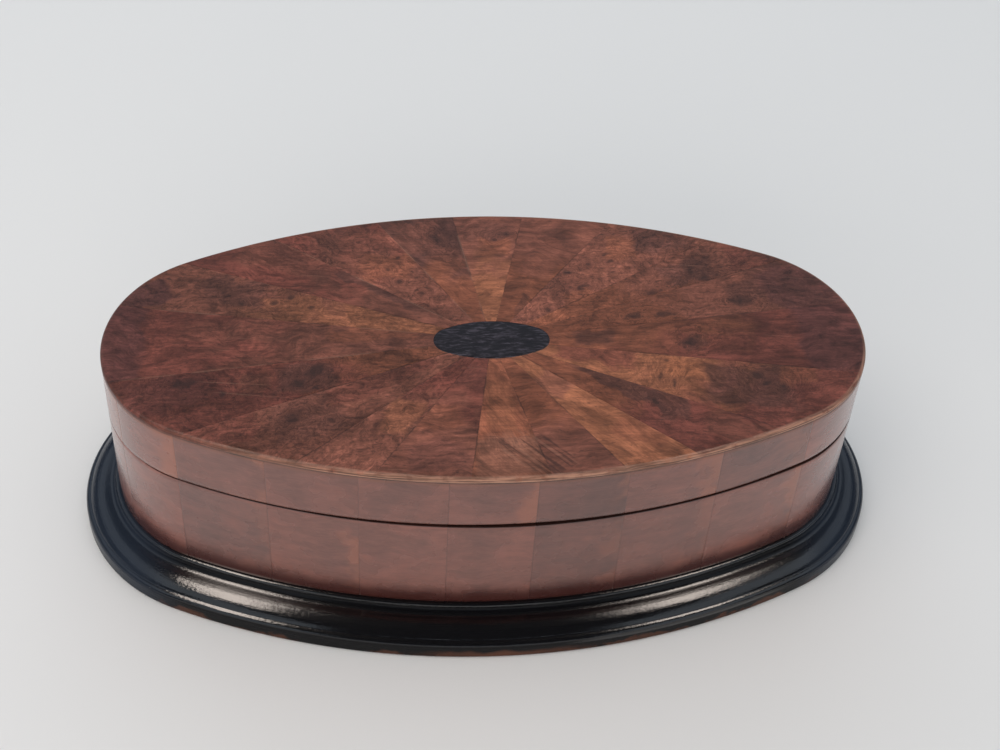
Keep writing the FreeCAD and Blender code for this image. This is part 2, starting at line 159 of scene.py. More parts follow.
def rim_reach(angle, offset=0.0):
    """How far the lid's outline, or a parallel of it, lies from the middle of the fan."""
    return BOX.reach(angle, offset, HUB.x, HUB.y)


def add_object(name, data):
    item = bpy.data.objects.new(name, data)
    bpy.context.scene.collection.objects.link(item)
    return item


# Edges that turn by more than this many degrees stay sharp
SHARP = 40.0
SHARP_PLINTH = 50.0


class Piece:
    """A mesh made of closed lofts that stands for CAD nodes and rides on their body."""

    def __init__(self):
        self.points = []
        self.faces = []
        self.marks = {}
        self.count = 0

    def loft(self, loops, **marks):
        """Add a closed skin through loops of equally many points, with a flat cap at each end."""
        number, size = loops.shape[:2]
        grid = self.count + np.arange(number * size).reshape(number, size)
        turned = np.roll(grid, -1, axis=1)
        quads = np.stack([grid[:-1], grid[1:], turned[1:], turned[:-1]], -1).reshape(-1, 4)
        self.faces += quads.tolist()
        self.faces += [grid[0].tolist(), grid[-1].tolist()]
        self.points.append(loops.reshape(-1, 3))
        for name, numbers in marks.items():
            spread = np.broadcast_to(numbers, (number, size)).reshape(-1)
            self.marks.setdefault(name, []).append(spread)
        self.count += number * size

    def place(self, name, material, body, slot, node, sharp=SHARP):
        """Make the object, hide the CAD node that it stands for, and hang it on its body."""
        mesh = bpy.data.meshes.new(name)
        mesh.from_pydata((np.concatenate(self.points) * MM).tolist(), [], self.faces)
        skin = bmesh.new()
        skin.from_mesh(mesh)
        bmesh.ops.recalc_face_normals(skin, faces=skin.faces)
        skin.to_mesh(mesh)
        skin.free()
        for mark, parts in self.marks.items():
            layer = mesh.attributes.new(mark, "FLOAT", "POINT")
            layer.data.foreach_set("value", np.concatenate(parts).astype(np.float32))
        mesh.shade_smooth()
        mesh.set_sharp_from_angle(angle=math.radians(sharp))
        mesh.materials.append(material)
        item = add_object(name, mesh)
        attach(item, body)
        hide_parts(node)


# Sockets of the Mix node for colours: the first, the second and the result
MIX_FIRST, MIX_SECOND, MIX_RESULT = 6, 7, 2
MIDDLE = 0.5


class Graph:
    """Adds and links the nodes of one material or world."""

    def __init__(self, name, kind="materials"):
        self.owner = getattr(bpy.data, kind).new(name)
        self.owner.use_nodes = True
        self.tree = self.owner.node_tree
        self.tree.nodes.clear()

    def node(self, kind, inputs=None, **settings):
        made = self.tree.nodes.new("ShaderNode" + kind)
        for name, setting in settings.items():
            setattr(made, name, setting)
        for socket, given in (inputs or {}).items():
            self.feed(made.inputs[socket], given)
        return made

    def feed(self, socket, given):
        if isinstance(given, bpy.types.NodeSocket):
            self.tree.links.new(given, socket)
        else:
            socket.default_value = given

    def math(self, operation, *given, clamp=False):
        made = self.node("Math", dict(enumerate(given)), operation=operation, use_clamp=clamp)
        return made.outputs[0]

    def vector(self, operation, *given):
        return self.node("VectorMath", dict(enumerate(given)), operation=operation).outputs[0]

    def scaled(self, vector, share):
        made = self.node("VectorMath", {0: vector, "Scale": share}, operation="SCALE")
        return made.outputs[0]

    def length(self, vector):
        return self.node("VectorMath", {0: vector}, operation="LENGTH").outputs["Value"]

    def turned(self, vector, degrees):
        angle = math.radians(degrees)
        made = self.node("VectorRotate", {"Vector": vector, "Angle": angle}, rotation_type="Z_AXIS")
        return made.outputs[0]

    def ramp(self, number, start, end, low=0.0, high=1.0):
        """A smooth step from low at start to high at end."""
        inputs = {"Value": number, "From Min": start, "From Max": end, "To Min": low, "To Max": high}
        return self.node("MapRange", inputs, interpolation_type="SMOOTHSTEP").outputs[0]

    def mix(self, share, first, second):
        """A colour between two others, each a socket or three numbers."""
        made = self.node("Mix", {0: share}, data_type="RGBA")
        for socket, given in ((MIX_FIRST, first), (MIX_SECOND, second)):
            self.feed(made.inputs[socket], (*given, 1.0) if isinstance(given, tuple) else given)
        return made.outputs[MIX_RESULT]

    def product(self, first, *others):
        for other in others:
            first = self.math("MULTIPLY", first, other)
        return first

    def cover(self, colour, other, *shares):
        """A colour with another laid over it, by the product of the shares."""
        return self.mix(self.product(*shares), colour, other)

    def apart(self, number, place):
        """How far a number lies from a place, either way."""
        return self.math("ABSOLUTE", self.math("SUBTRACT", number, place))

    def shifted(self, number, noise, swing, clamp=False):
        """A number that a noise shifts up and down."""
        shift = self.math("MULTIPLY_ADD", noise, swing, -MIDDLE * swing)
        return self.math("ADD", number, shift, clamp=clamp)

    def parts(self, vector):
        return self.node("SeparateXYZ", {0: vector}).outputs

    def noise(self, at, scale, detail=2.0, roughness=0.5, output="Fac", distortion=0.0):
        inputs = {"Vector": at, "Scale": scale, "Detail": detail, "Roughness": roughness}
        inputs["Distortion"] = distortion
        return self.node("TexNoise", inputs).outputs[output]

    def drawn(self, at, squeeze, *character, distortion=0.0):
        """Noise that is drawn out along X."""
        squeezed = self.vector("MULTIPLY", at, (squeeze, 1.0, 1.0))
        return self.noise(squeezed, *character, distortion=distortion)

    def mark(self, name):
        return self.node("Attribute", attribute_name=name).outputs["Fac"]

    def millimetres(self):
        return self.scaled(self.node("TexCoord").outputs["Object"], 1 / MM)

    def sway(self, at, scale, reach):
        """A slow, random shift of the wood's figure."""
        drift = self.vector("SUBTRACT", self.noise(at, scale, output="Color"), (MIDDLE, MIDDLE, MIDDLE))
        return self.scaled(drift, reach)

    def swayed(self, at, scale, reach):
        return self.vector("ADD", at, self.sway(at, scale, reach))

    def bump(self, height, distance, strength=1.0, normal=None):
        inputs = {"Height": height, "Distance": distance * MM, "Strength": strength}
        if normal is not None:
            inputs["Normal"] = normal
        return self.node("Bump", inputs).outputs[0]

    def shader(self, colour, roughness, normal=None, constants=None):
        inputs = {"Base Color": colour, "Roughness": roughness}
        if normal is not None:
            inputs["Normal"] = normal
        if normal is not None and "Coat Weight" in (constants or {}):
            inputs["Coat Normal"] = normal
        inputs.update(constants or {})
        made = self.node("BsdfPrincipled", inputs)
        self.node("OutputMaterial", {0: made.outputs[0]})
        return self.owner


# Tones of the woods
TONES = {
    "red": (0.124, 0.034, 0.024),
    "brown": (0.136, 0.046, 0.030),
    "orange": (0.178, 0.057, 0.030),
    "golden": (0.228, 0.081, 0.040),
    "gilt": (0.290, 0.100, 0.046),
    "umber": (0.078, 0.029, 0.022),
    "purple": (0.070, 0.024, 0.023),
    "faded": (0.180, 0.070, 0.044),
}
KNOT = (0.026, 0.012, 0.011)
# Pale bare wood, also used as a painted highlight on the rim's rounding and along lifted seams
WORN_AND_HIGHLIGHT = (0.350, 0.184, 0.126)
# Dark dirt, also used as painted shade at the gap between lid and body and inside it
GRIME_AND_SHADE = (0.016, 0.008, 0.007)


# A dark knot on the lid: its place in millimetres, its size, how long it is and its lie
Knot = namedtuple("Knot", "x y size stretch lie", defaults=(1.0, 0.0))

# A patch of another tone: its place, half its length and width, its lie and its strength
Patch = namedtuple("Patch", "x y long wide lie tone share")

# The wood of a wedge: its tones from the oval to the rim, where they change, and its figure
Wedge = namedtuple("Wedge", "inner outer change light burr eyes grain knots patches")

WEDGES = (
    Wedge("orange", "red", 0.44, 0.92, 0.25, 0.0, 0.0, (Knot(62, -4, 2.4, 1.6, 40),), (
        Patch(33, -1.5, 6, 3.2, 0, "umber", 0.6), Patch(63, -5, 5, 3.0, 30, "umber", 0.5),
        Patch(72, 4, 7, 2.4, 5, "orange", 0.5), Patch(106, 0, 10, 20, 0, "purple", 0.7),
    )),
    Wedge("orange", "brown", 0.46, 0.99, 0.50, 0.1, 8.0, (
        Knot(45.8, 7.8, 2.4, 2.0, 5), Knot(54.8, 8.6, 1.9, 2.4, 0), Knot(80.6, 14.2, 2.4, 1.8, 0),
    ), (Patch(83, 18, 6, 5, 20, "umber", 0.6), Patch(101, 20, 11, 12, 20, "purple", 0.7))),
    Wedge("orange", "brown", 0.45, 1.02, 0.90, 0.2, 15.0, (
        Knot(53.7, 19.1, 1.6, 2.2, 20), Knot(71.6, 25.1, 2.2, 2.2, 15),
    ), (Patch(66, 29, 9, 4.5, 20, "umber", 0.75), Patch(92, 38, 12, 7, 15, "red", 0.6))),
    Wedge("brown", "brown", 0.50, 1.32, 1.00, 0.6, 20.0, (
        Knot(34.5, 33, 1.5), Knot(41.7, 34.3, 1.4), Knot(31.3, 22.1, 1.8, 1.8, 30),
        Knot(19.4, 11.6, 1.4), Knot(27, 29, 1.4),
    ), (
        Patch(58, 45, 8, 6, 0, "umber", 0.8), Patch(46, 40, 5, 6, 0, "orange", 0.6),
        Patch(36, 18, 10, 3, 20, "orange", 0.6),
    )),
    Wedge("orange", "brown", 0.55, 1.12, 0.20, 0.0, -10.0, (), (
        Patch(18, 33, 5, 6, 60, "brown", 0.6), Patch(12, 14, 2, 5, -20, "umber", 0.5),
    )),
    Wedge("golden", "brown", 0.50, 1.25, 0.30, 0.0, 0.0, (Knot(9, 49, 1.6, 1.8, 10), Knot(5, 46, 1.2)), (
        Patch(5, 42, 5, 4, 0, "orange", 0.7), Patch(-1, 51, 12, 5, 0, "umber", 0.45),
    )),
    Wedge("orange", "umber", 0.50, 1.14, 0.25, 0.0, -30.0, (Knot(-14, 46.8, 2.2, 2.5, -60),), (
        Patch(-20, 48, 8, 8, 10, "brown", 0.5), Patch(-12, 39, 5, 3, 0, "brown", 0.5),
    )),
    Wedge("brown", "red", 0.65, 1.20, 0.90, 0.5, -20.0, (
        Knot(-26.4, 26, 1.3), Knot(-19.9, 20, 1.3), Knot(-29.9, 31.9, 1.2),
    ), (
        Patch(-40, 42, 14, 10, 0, "brown", 0.6), Patch(-30, 33, 8, 6, 0, "orange", 0.6),
        Patch(-20, 25, 4, 5, 60, "brown", 0.6),
    )),
    Wedge("brown", "red", 0.52, 1.08, 0.35, 0.0, -15.0, (Knot(-54, 47, 2.2, 2.4, 0),), (
        Patch(-33, 22, 16, 2.4, -37, "umber", 0.8), Patch(-62, 40, 16, 8, -20, "brown", 0.6),
        Patch(-50, 47, 7, 4, 0, "umber", 0.5),
    )),
    Wedge("golden", "brown", 0.48, 0.88, 0.80, 0.2, -8.0, (
        Knot(-60.8, 19.2, 1.7), Knot(-75.8, 16.6, 1.8), Knot(-65.8, 17, 1.6), Knot(-54, 14.5, 1.2),
    ), (
        Patch(-60, 16.5, 8, 3.0, 0, "golden", 0.6), Patch(-78, 22, 9, 6, -10, "umber", 0.6),
        Patch(-105, 21, 8, 5, 25, "purple", 0.8),
    )),
    Wedge("brown", "red", 0.55, 0.97, 0.45, 0.0, 0.0, (), (
        Patch(-35, 2, 14, 3, 0, "orange", 0.6), Patch(-112, 0, 8, 20, 0, "purple", 0.7),
        Patch(-80, 4, 14, 4, 0, "brown", 0.4),
    )),
    Wedge("orange", "red", 0.36, 0.83, 0.80, 0.3, 10.0, (
        Knot(-80, -22.7, 1.7), Knot(-53, -13.9, 3.2, 1.4, 60), Knot(-92, -18.4, 2.6, 2.2, 10),
        Knot(-58, -19, 2.6, 1.3, 20),
    ), (
        Patch(-56, -17, 9, 6, 10, "umber", 0.75), Patch(-71, -19, 4, 4, 0, "brown", 0.6),
        Patch(-97, -22, 14, 7, 15, "purple", 0.35),
    )),
    Wedge("brown", "brown", 0.50, 0.96, 0.90, 0.3, 25.0, (
        Knot(-60.1, -33.9, 2.4, 1.6, 40), Knot(-48.3, -34.4, 1.3),
    ), (
        Patch(-56, -33, 11, 8, 20, "umber", 0.5), Patch(-80, -38, 11, 6, 25, "red", 0.7),
        Patch(-40, -22, 9, 4, 25, "red", 0.5), Patch(-26, -12, 8, 5, 25, "red", 0.6),
    )),
    Wedge("red", "brown", 0.40, 1.00, 0.90, 0.3, 30.0, (Knot(-25, -42.7, 1.8),), (
        Patch(-28, -33, 5, 8, -20, "golden", 0.55), Patch(-23, -44, 4, 5, 0, "umber", 0.6),
        Patch(-44, -46, 8, 4, 20, "brown", 0.6),
    )),
    Wedge("red", "brown", 0.42, 1.06, 0.35, 0.0, 0.0, (), (
        Patch(-8, -16, 5, 6, 60, "umber", 0.25), Patch(-17, -34, 7, 5, 0, "orange", 0.5),
        Patch(-18, -50, 8, 6, 0, "purple", 0.25),
    )),
    Wedge("orange", "orange", 0.50, 1.06, 0.20, 0.0, -60.0, (), (
        Patch(1, -30, 4, 10, 0, "golden", 0.4), Patch(2, -51, 10, 8, 0, "faded", 0.9),
    )),
    Wedge("orange", "brown", 0.62, 1.06, 0.15, 0.0, 0.0, (), (
        Patch(22, -46, 8, 6, 10, "brown", 0.6), Patch(14, -24, 4, 6, 30, "orange", 0.5),
    )),
    Wedge("golden", "golden", 0.50, 1.13, 0.15, 0.0, -40.0, (), (
        Patch(42, -42, 8, 5, -30, "orange", 0.6), Patch(20, -18, 6, 8, -40, "brown", 0.7),
    )),
    Wedge("orange", "red", 0.55, 1.02, 0.25, 0.0, -30.0, (Knot(47, -29.7, 2.0, 2.4, -50),), (
        Patch(36, -21, 14, 2.6, -38, "umber", 0.8), Patch(52, -31, 5, 6, 0, "umber", 0.7),
        Patch(70, -42, 10, 5, -25, "brown", 0.5),
    )),
    Wedge("golden", "red", 0.62, 0.99, 0.50, 0.2, -10.0, (
        Knot(50, -19.7, 0.9, 3.0, 80), Knot(54, -22.2, 0.8, 3.4, 75), Knot(79.9, -19.7, 1.8, 1.8, -40),
        Knot(86.9, -25.2, 1.7, 1.6, 80), Knot(52.9, -12.2, 1.1), Knot(82, -23, 1.2, 2.2, 40),
    ), (
        Patch(32, -7, 12, 6, -15, "red", 0.75), Patch(58, -16, 7, 4, -14, "gilt", 0.7),
        Patch(76, -24, 13, 9, -5, "umber", 0.75), Patch(93, -17, 6, 6, 0, "orange", 0.6),
        Patch(106, -22, 8, 8, 0, "red", 0.7),
    )),
)


# Knots and eyes: where their hearts and rings start and end, and how far a knot pushes the grain
KNOT_HEART = (1.15, 0.15)
KNOT_RING = (2.4, 1.0)
KNOT_PUSH = 0.9
EYE_SCALE = 0.14
EYE_HEART = (0.18, 0.03)
EYE_RING = (0.40, 0.16)
PATCH_EDGE = (1.20, 0.80)


def add_knot(g, spot, knot):
    """A knot's dark heart, the ring round it, and how it pushes the grain aside."""
    away = g.vector("SUBTRACT", spot, (knot.x, knot.y, 0.0))
    flat = (1 / (knot.size * knot.stretch), 1 / knot.size, 0.0)
    local = g.vector("MULTIPLY", g.turned(away, -knot.lie), flat)
    distance = g.length(g.vector("ADD", local, g.sway(spot, 0.45, 1.8)))
    falloff = g.math("DIVIDE", KNOT_PUSH, g.math("MULTIPLY_ADD", distance, distance, 1.0))
    return g.ramp(distance, *KNOT_HEART), g.ramp(distance, *KNOT_RING), g.scaled(away, falloff)


def add_eyes(g, spot, share):
    """Small round eyes of burr wood in a share of the places that could hold one."""
    cells = g.node("TexVoronoi", {"Vector": g.swayed(spot, 0.5, 3.0), "Scale": EYE_SCALE}).outputs
    chosen = g.math("LESS_THAN", cells["Color"], share)
    return [g.product(g.ramp(cells["Distance"], *step), chosen) for step in (EYE_HEART, EYE_RING)]


def add_patch(g, spot, drift, patch):
    """How far a place lies within a patch, whose edges are uneven."""
    away = g.turned(g.vector("SUBTRACT", spot, (patch.x, patch.y, 0.0)), -patch.lie)
    local = g.vector("MULTIPLY", g.vector("ADD", away, drift), (1 / patch.long, 1 / patch.wide, 0.0))
    parts = g.parts(g.vector("ABSOLUTE", local))
    return g.ramp(g.math("MAXIMUM", parts[0], parts[1]), *PATCH_EDGE, 0.0, patch.share)


def tinted(tone, light):
    return tuple(light * part for part in tone)


# How deep the blotches of plain and of burr wood and its curls are, half the stretch over which
# a wedge's tone changes, and how far apart in the noise the wedges are cut
BLOTCH_DEPTH = 0.24
BURR_DEPTH = 0.18
CURL_DEPTH = 0.30
TONE_CHANGE = 0.20
WEDGES_APART = 53.0

# Noises along the grain: squeeze, scale, detail and roughness
SWIRL = (0.30, 0.30, 7.0, 0.62)
FIBRE = (0.05, 2.2, 3.0, 0.6)
HAIR = (0.07, 2.6)
THREAD = (0.05, 0.95, 3.0, 0.6)
PORE = (0.40, 1.5)
SCRATCHES = (0.02, 1.7)
SCRAPES = (0.05, 0.9)

# Noises without a direction: scale, detail and roughness
BLOTCH = (0.055, 5.0, 0.62)
FIELD = (0.030, 3.0, 0.55)
CURL = (0.42, 5.0, 0.6)

# Slanting marks of a scraper, the wedges that they cross, and the lie of the fine scratches
CHATTER = Patch(9, -49, 11, 6, -48, "umber", 0.55)
CHATTERED = (16, 17)
SCRATCH_LIE = 7.0

# The dark line along the rim, and how far the rim is painted pale, partly as wear and partly as painted
# highlight, less of it to the left
RIM_LINE = VENEER_LEVEL + 0.62
RUBBED_AND_HIGHLIGHTED = (-105.0, -30.0, 0.06, 1.0)


def wedge_figure(g, number, wood):
    """Places on a wedge and the noises of its wood, pushed aside by its knots."""
    spot = g.millimetres()
    own = g.vector("ADD", spot, (0.0, 0.0, WEDGES_APART * number))
    flow = g.swayed(own, 0.05, 10.0 + 22.0 * wood.burr)
    hearts = []
    rings = []
    for knot in wood.knots:
        heart, ring, push = add_knot(g, spot, knot)
        hearts.append(heart)
        rings.append(ring)
        flow = g.vector("ADD", flow, push)
    if wood.eyes:
        heart, ring = add_eyes(g, own, wood.eyes)
        hearts.append(heart)
        rings.append(ring)
    along = g.turned(flow, -wood.grain)
    stray = g.swayed(own, 0.1, 2.0)
    return SimpleNamespace(
        spot=spot,
        drift=g.sway(own, 0.13, 9.0),
        hearts=hearts,
        rings=rings,
        swirl=g.drawn(along, *SWIRL, distortion=1.2 * wood.burr),
        fibre=g.drawn(along, *FIBRE),
        blotch=g.noise(own, *BLOTCH, distortion=0.6),
        streak=g.ramp(g.drawn(stray, *HAIR), 0.60, 0.74),
        thread=g.drawn(stray, *THREAD),
        pore=g.drawn(stray, *PORE),
        field=g.noise(spot, *FIELD),
        curl=g.noise(g.swayed(own, 0.22, 6.0), *CURL, distortion=1.6),
    )


def wedge_tone(g, wood, figure):
    """A wedge's tone, which changes on the way out, with its patches."""
    share = g.shifted(g.mark("way_out"), figure.blotch, 1.2)
    outwards = g.ramp(share, wood.change - TONE_CHANGE, wood.change + TONE_CHANGE)
    tone = g.mix(outwards, tinted(TONES[wood.inner], wood.light), tinted(TONES[wood.outer], wood.light))
    for patch in wood.patches:
        within = add_patch(g, figure.spot, figure.drift, patch)
        tone = g.mix(within, tone, tinted(TONES[patch.tone], wood.light))
    return tone


def wedge_shade(g, wood, figure):
    """How much darker or paler the figure makes the tone."""
    depth = BLOTCH_DEPTH + BURR_DEPTH * wood.burr
    curl = CURL_DEPTH * wood.burr
    return g.product(
        g.ramp(figure.blotch, 0.30, 0.70, 1 - depth, 1 + depth),
        g.ramp(figure.swirl, 0.28, 0.72, 0.58, 1.46),
        g.ramp(figure.fibre, 0.30, 0.70, 0.84, 1.18),
        g.ramp(figure.thread, 0.32, 0.68, 0.85, 1.17),
        g.ramp(figure.field, 0.32, 0.68, 0.88, 1.12),
        g.ramp(figure.curl, 0.32, 0.68, 1 - curl, 1 + curl),
    )


def sound_wood(g, wood, figure):
    """The colour of the wood itself: tone, figure, folds, knots, streaks and pores."""
    tone = wedge_tone(g, wood, figure)
    colour = g.scaled(tone, wedge_shade(g, wood, figure))
    fold = g.ramp(g.apart(figure.curl, MIDDLE), 0.020, 0.004, 0.0, 0.30 * wood.burr)
    colour = g.mix(fold, colour, tinted(TONES["golden"], 1.15 * wood.light))
    for ring in figure.rings:
        colour = g.cover(colour, g.scaled(tone, g.ramp(figure.swirl, 0.35, 0.65, 0.45, 1.5)), ring, 0.40)
    for heart in figure.hearts:
        colour = g.cover(colour, KNOT, heart, 0.72)
    colour = g.cover(colour, KNOT, figure.streak, 0.40)
    return g.mix(g.ramp(figure.pore, 0.62, 0.72, 0.0, 0.38), colour, KNOT)


def scraped(g, colour, figure):
    """Marks of a scraper, pale beside and dark within each groove."""
    marks = g.drawn(g.turned(figure.spot, -CHATTER.lie), *SCRAPES)
    within = add_patch(g, figure.spot, figure.drift, CHATTER)
    colour = g.cover(colour, WORN_AND_HIGHLIGHT, within, g.ramp(marks, 0.48, 0.36, 0.0, 0.35))
    return g.cover(colour, KNOT, within, g.ramp(marks, 0.52, 0.62))


def seamed(g, colour, figure):
    """Dirt in the seams, broken in places, and a painted highlight along the lifted seams."""
    broken = g.ramp(g.noise(figure.spot, 0.09, 3.0, 0.6), 0.42, 0.62)
    seam = g.ramp(g.shifted(g.mark("from_seam"), figure.swirl, 0.5), 0.34, 0.05)
    colour = g.cover(colour, GRIME_AND_SHADE, seam, g.ramp(broken, 0.0, 1.0, 0.06, 0.50))
    # Painted highlight along the lifted seams, in the colour of bare wood
    whole = g.ramp(g.noise(figure.spot, 0.07, 3.0, 0.6), 0.58, 0.46, 0.0, 0.42)
    return g.cover(colour, WORN_AND_HIGHLIGHT, g.mark("raised"), whole)


def worn_rim(g, colour, spot):
    """Bare wood in layers along the rim, partly a painted highlight of the rounded edge, with a dark line
    and chips.
    """
    parts = g.parts(spot)
    patchy = g.ramp(g.noise(spot, 0.35, 3.0), 0.15, 0.50)
    layer = g.noise(g.vector("MULTIPLY", spot, (0.05, 0.05, 1.0)), 2.3, 3.0, 0.6)
    # The pale rim is partly wear and partly a painted highlight of its rounding
    bare = g.mix(g.ramp(layer, 0.36, 0.62), tinted(WORN_AND_HIGHLIGHT, 0.50), tinted(WORN_AND_HIGHLIGHT, 1.20))
    colour = g.cover(colour, bare, g.mark("worn"), g.ramp(parts["X"], *RUBBED_AND_HIGHLIGHTED), patchy)
    line = g.ramp(g.apart(parts["Z"], RIM_LINE), 0.26, 0.08)
    there = g.ramp(g.noise(spot, 0.06, 3.0, 0.6), 0.38, 0.54)
    colour = g.cover(colour, KNOT, line, there, 0.60)
    return g.cover(colour, KNOT, g.mark("chip"), 0.70)


def wedge_wood(number, wood):
    """The veneer of one wedge."""
    g = Graph(f"wedge_wood_{number:02d}")
    figure = wedge_figure(g, number, wood)
    colour = sound_wood(g, wood, figure)
    if number in CHATTERED:
        colour = scraped(g, colour, figure)
    colour = worn_rim(g, seamed(g, colour, figure), figure.spot)
    scratch = g.ramp(g.drawn(g.turned(figure.spot, SCRATCH_LIE), *SCRATCHES), 0.70, 0.80)
    colour = g.cover(colour, WORN_AND_HIGHLIGHT, scratch, 0.22)
    polish = g.ramp(figure.blotch, 0.3, 0.7, 0.36, 0.50)
    relief = g.math("MULTIPLY_ADD", figure.swirl, 0.6, g.product(figure.fibre, 0.4))
    grooves = g.math("MAXIMUM", scratch, figure.streak)
    relief = g.math("SUBTRACT", relief, g.product(grooves, 0.4))
    return g.shader(colour, polish, g.bump(relief, 0.05, 0.6), {"Specular IOR Level": 0.33})


# How the wedges' tops lie: eased at the seams and lifted along some of them, less beyond the seam
SEAM_STEPS = (0.0, 0.12, 0.32, 0.8)
SEAM_EASE = (0.035, 0.01, 0.0, 0.0)
SEAM_LIFT = (0.7, 1.0, 0.25, 0.0)
LIFTED_SEAMS = (7, 8, 9, 11, 12)
LIFT = 0.049
FAR_LIFT = 0.4
TOP_DROP = 0.10
LEAST_DROP = 0.4
INNER_EASE = 0.06
ACROSS_STEP = 1.6
OUT_ROWS = 44
ROUND_STEPS = 7

# Chips in the rim: direction, half length and depth, and how far they go in and down
CHIPS = ((-54.0, 4.5, 0.45), (-49.5, 2.6, 0.35), (-61.0, 2.0, 0.25), (-118.0, 2.4, 0.25), (-140.0, 1.8, 0.2))
CHIP_IN = 0.8
CHIP_DOWN = 0.6


def unevenness(x, y):
    """A gentle waviness of old veneer, between 0 and 1."""
    wave = np.sin(x / 9.1 + 1.3 * np.sin(y / 12.0)) + np.sin(y / 7.3 + 0.8 * np.sin(x / 15.0))
    return 0.5 + 0.25 * wave


def chip_depth(angle):
    """How much of the rim is chipped away in the given directions."""
    depth = np.zeros_like(angle)
    for degrees, half_length, deepest in CHIPS:
        turn = np.angle(np.exp(1j * (angle - math.radians(degrees))))
        apart = turn * rim_reach(angle) / half_length
        depth = np.maximum(depth, deepest * np.clip(1 - apart ** 2, 0, 1))
    return depth


def wedge_reach(angle, share):
    """How far a share of the way from the inlay to the rim's rounding lies from the middle."""
    inner = INLAY.reach(angle)
    return inner + share * (rim_reach(angle, -EDGE_ROUND) - inner)


def wedge_columns(first, last, share):
    """Directions of the points in each column across a wedge, for every row outwards."""
    steps = np.array(SEAM_STEPS)[:, None]
    near = first + steps / wedge_reach(np.full_like(share, first), share)
    far = (last - steps / wedge_reach(np.full_like(share, last), share))[::-1]
    width = (last - first) * rim_reach(np.array((first + last) / 2))
    count = max(4, int(width / ACROSS_STEP))
    inside = np.linspace(0, 1, count)[1:-1, None]
    middle = near[-1] + inside * (far[0] - near[-1])
    return np.concatenate([near, middle, far])


def seam_profile(number, columns):
    """How far each column of a wedge is eased down, and its share of the lift."""
    ease = np.zeros((columns, 1))
    lift = np.zeros((columns, 1))
    edge = len(SEAM_STEPS)
    ease[:edge, 0] = SEAM_EASE
    ease[-edge:, 0] = SEAM_EASE[::-1]
    if number in LIFTED_SEAMS:
        lift[:edge, 0] = SEAM_LIFT
    if number + 1 in LIFTED_SEAMS:
        lift[-edge:, 0] = FAR_LIFT * np.array(SEAM_LIFT)[::-1]
    return ease, lift


def wedge_drop(angle, reach, ease, lift):
    """How far the points of a wedge's top lie below the highest level."""
    uneven = unevenness(HUB.x + reach * np.cos(angle), HUB.y + reach * np.sin(angle))
    drop = TOP_DROP * (LEAST_DROP + (1 - LEAST_DROP) * uneven) + ease - LIFT * lift
    drop[:, 0] += INNER_EASE
    return np.maximum(drop, 0.0)


def add_wedge(number):
    """A wedge of the lid's top: uneven above, eased at its seams and rounded at the rim."""
    first = math.radians(SEAM_ANGLES[number - 1])
    last = math.radians((*SEAM_ANGLES, SEAM_ANGLES[0] + FULL_TURN)[number])
    share = np.linspace(0, 1, OUT_ROWS)
    angle = wedge_columns(first, last, share)
    columns = len(angle)
    reach = wedge_reach(angle, share)
    from_seam = np.minimum((angle - first) * reach, (last - angle) * reach)
    ease, lift = seam_profile(number, columns)
    lift = lift * np.sin(np.pi * share) ** 0.5
    drop = wedge_drop(angle, reach, ease, lift)

    rim_angle = angle[:, -1:]
    turn = np.linspace(0, np.pi / 2, ROUND_STEPS)[1:]
    chip = chip_depth(rim_angle)
    offset = -EDGE_ROUND * (1 - np.sin(turn)) - CHIP_IN * chip * np.ones_like(turn)
    round_reach = rim_reach(np.broadcast_to(rim_angle, offset.shape), offset)
    rim_drop = EDGE_ROUND * (1 - np.cos(turn)) + (drop[:, -1:] + CHIP_DOWN * chip) * np.cos(turn)

    all_reach = np.concatenate([INLAY.reach(angle[:, :1]), reach, round_reach, rim_reach(rim_angle)], 1)
    all_angle = np.concatenate([angle[:, :1], angle, np.repeat(rim_angle, ROUND_STEPS, 1)], 1)
    floor = np.full((columns, 1), VENEER_LEVEL)
    height = np.concatenate([floor, TOP - drop, TOP - rim_drop, floor], 1)
    x = HUB.x + all_reach * np.cos(all_angle)
    y = HUB.y + all_reach * np.sin(all_angle)

    sound = np.zeros((columns, OUT_ROWS + 1))
    rounding = np.broadcast_to(np.sin(turn), round_reach.shape)
    rim_seam = np.repeat(from_seam[:, -1:], ROUND_STEPS, 1)
    piece = Piece()
    piece.loft(
        np.stack([x, y, height], -1),
        way_out=np.concatenate([share[:1], share, np.ones(ROUND_STEPS)]),
        from_seam=np.concatenate([from_seam[:, :1], from_seam, rim_seam], 1),
        worn=np.concatenate([sound, rounding ** 0.7, np.ones((columns, 1))], 1),
        raised=np.concatenate([np.zeros((columns, 1)), lift, np.zeros((columns, ROUND_STEPS))], 1),
        chip=np.concatenate([sound, rounding * chip, chip], 1),
    )
    wood = wedge_wood(number, WEDGES[number - 1])
    piece.place(f"wedge_{number:02d}", wood, "lid", "burr_veneer", f"top_wedge_{number:02d}")


# The centre oval: its two colours, its edge as distances outwards and depths, and its rings
EBONY_BLACK = (0.007, 0.006, 0.010)
EBONY_GREY = (0.058, 0.050, 0.068)
OVAL_DEPTH = 0.08
OVAL_EDGE = ((0.0, 0.20), (-0.08, 0.12), (-0.25, OVAL_DEPTH))
OVAL_RINGS = (0.9, 0.75, 0.6, 0.45, 0.3, 0.15, 0.04)
OVAL_WAVE = 0.05


def ebony_wood():
    """Black wood of the centre oval, with grey, wavy lines along it."""
    g = Graph("ebony_wood")
    spot = g.millimetres()
    streak = g.drawn(g.swayed(spot, 0.22, 1.6), 0.17, 1.7, 4.0, 0.6)
    colour = g.mix(g.ramp(streak, 0.46, 0.70), EBONY_BLACK, EBONY_GREY)
    normal = g.bump(streak, 0.06, 0.6)
    return g.shader(colour, g.ramp(streak, 0.3, 0.7, 0.34, 0.5), normal, {"Specular IOR Level": 0.35})


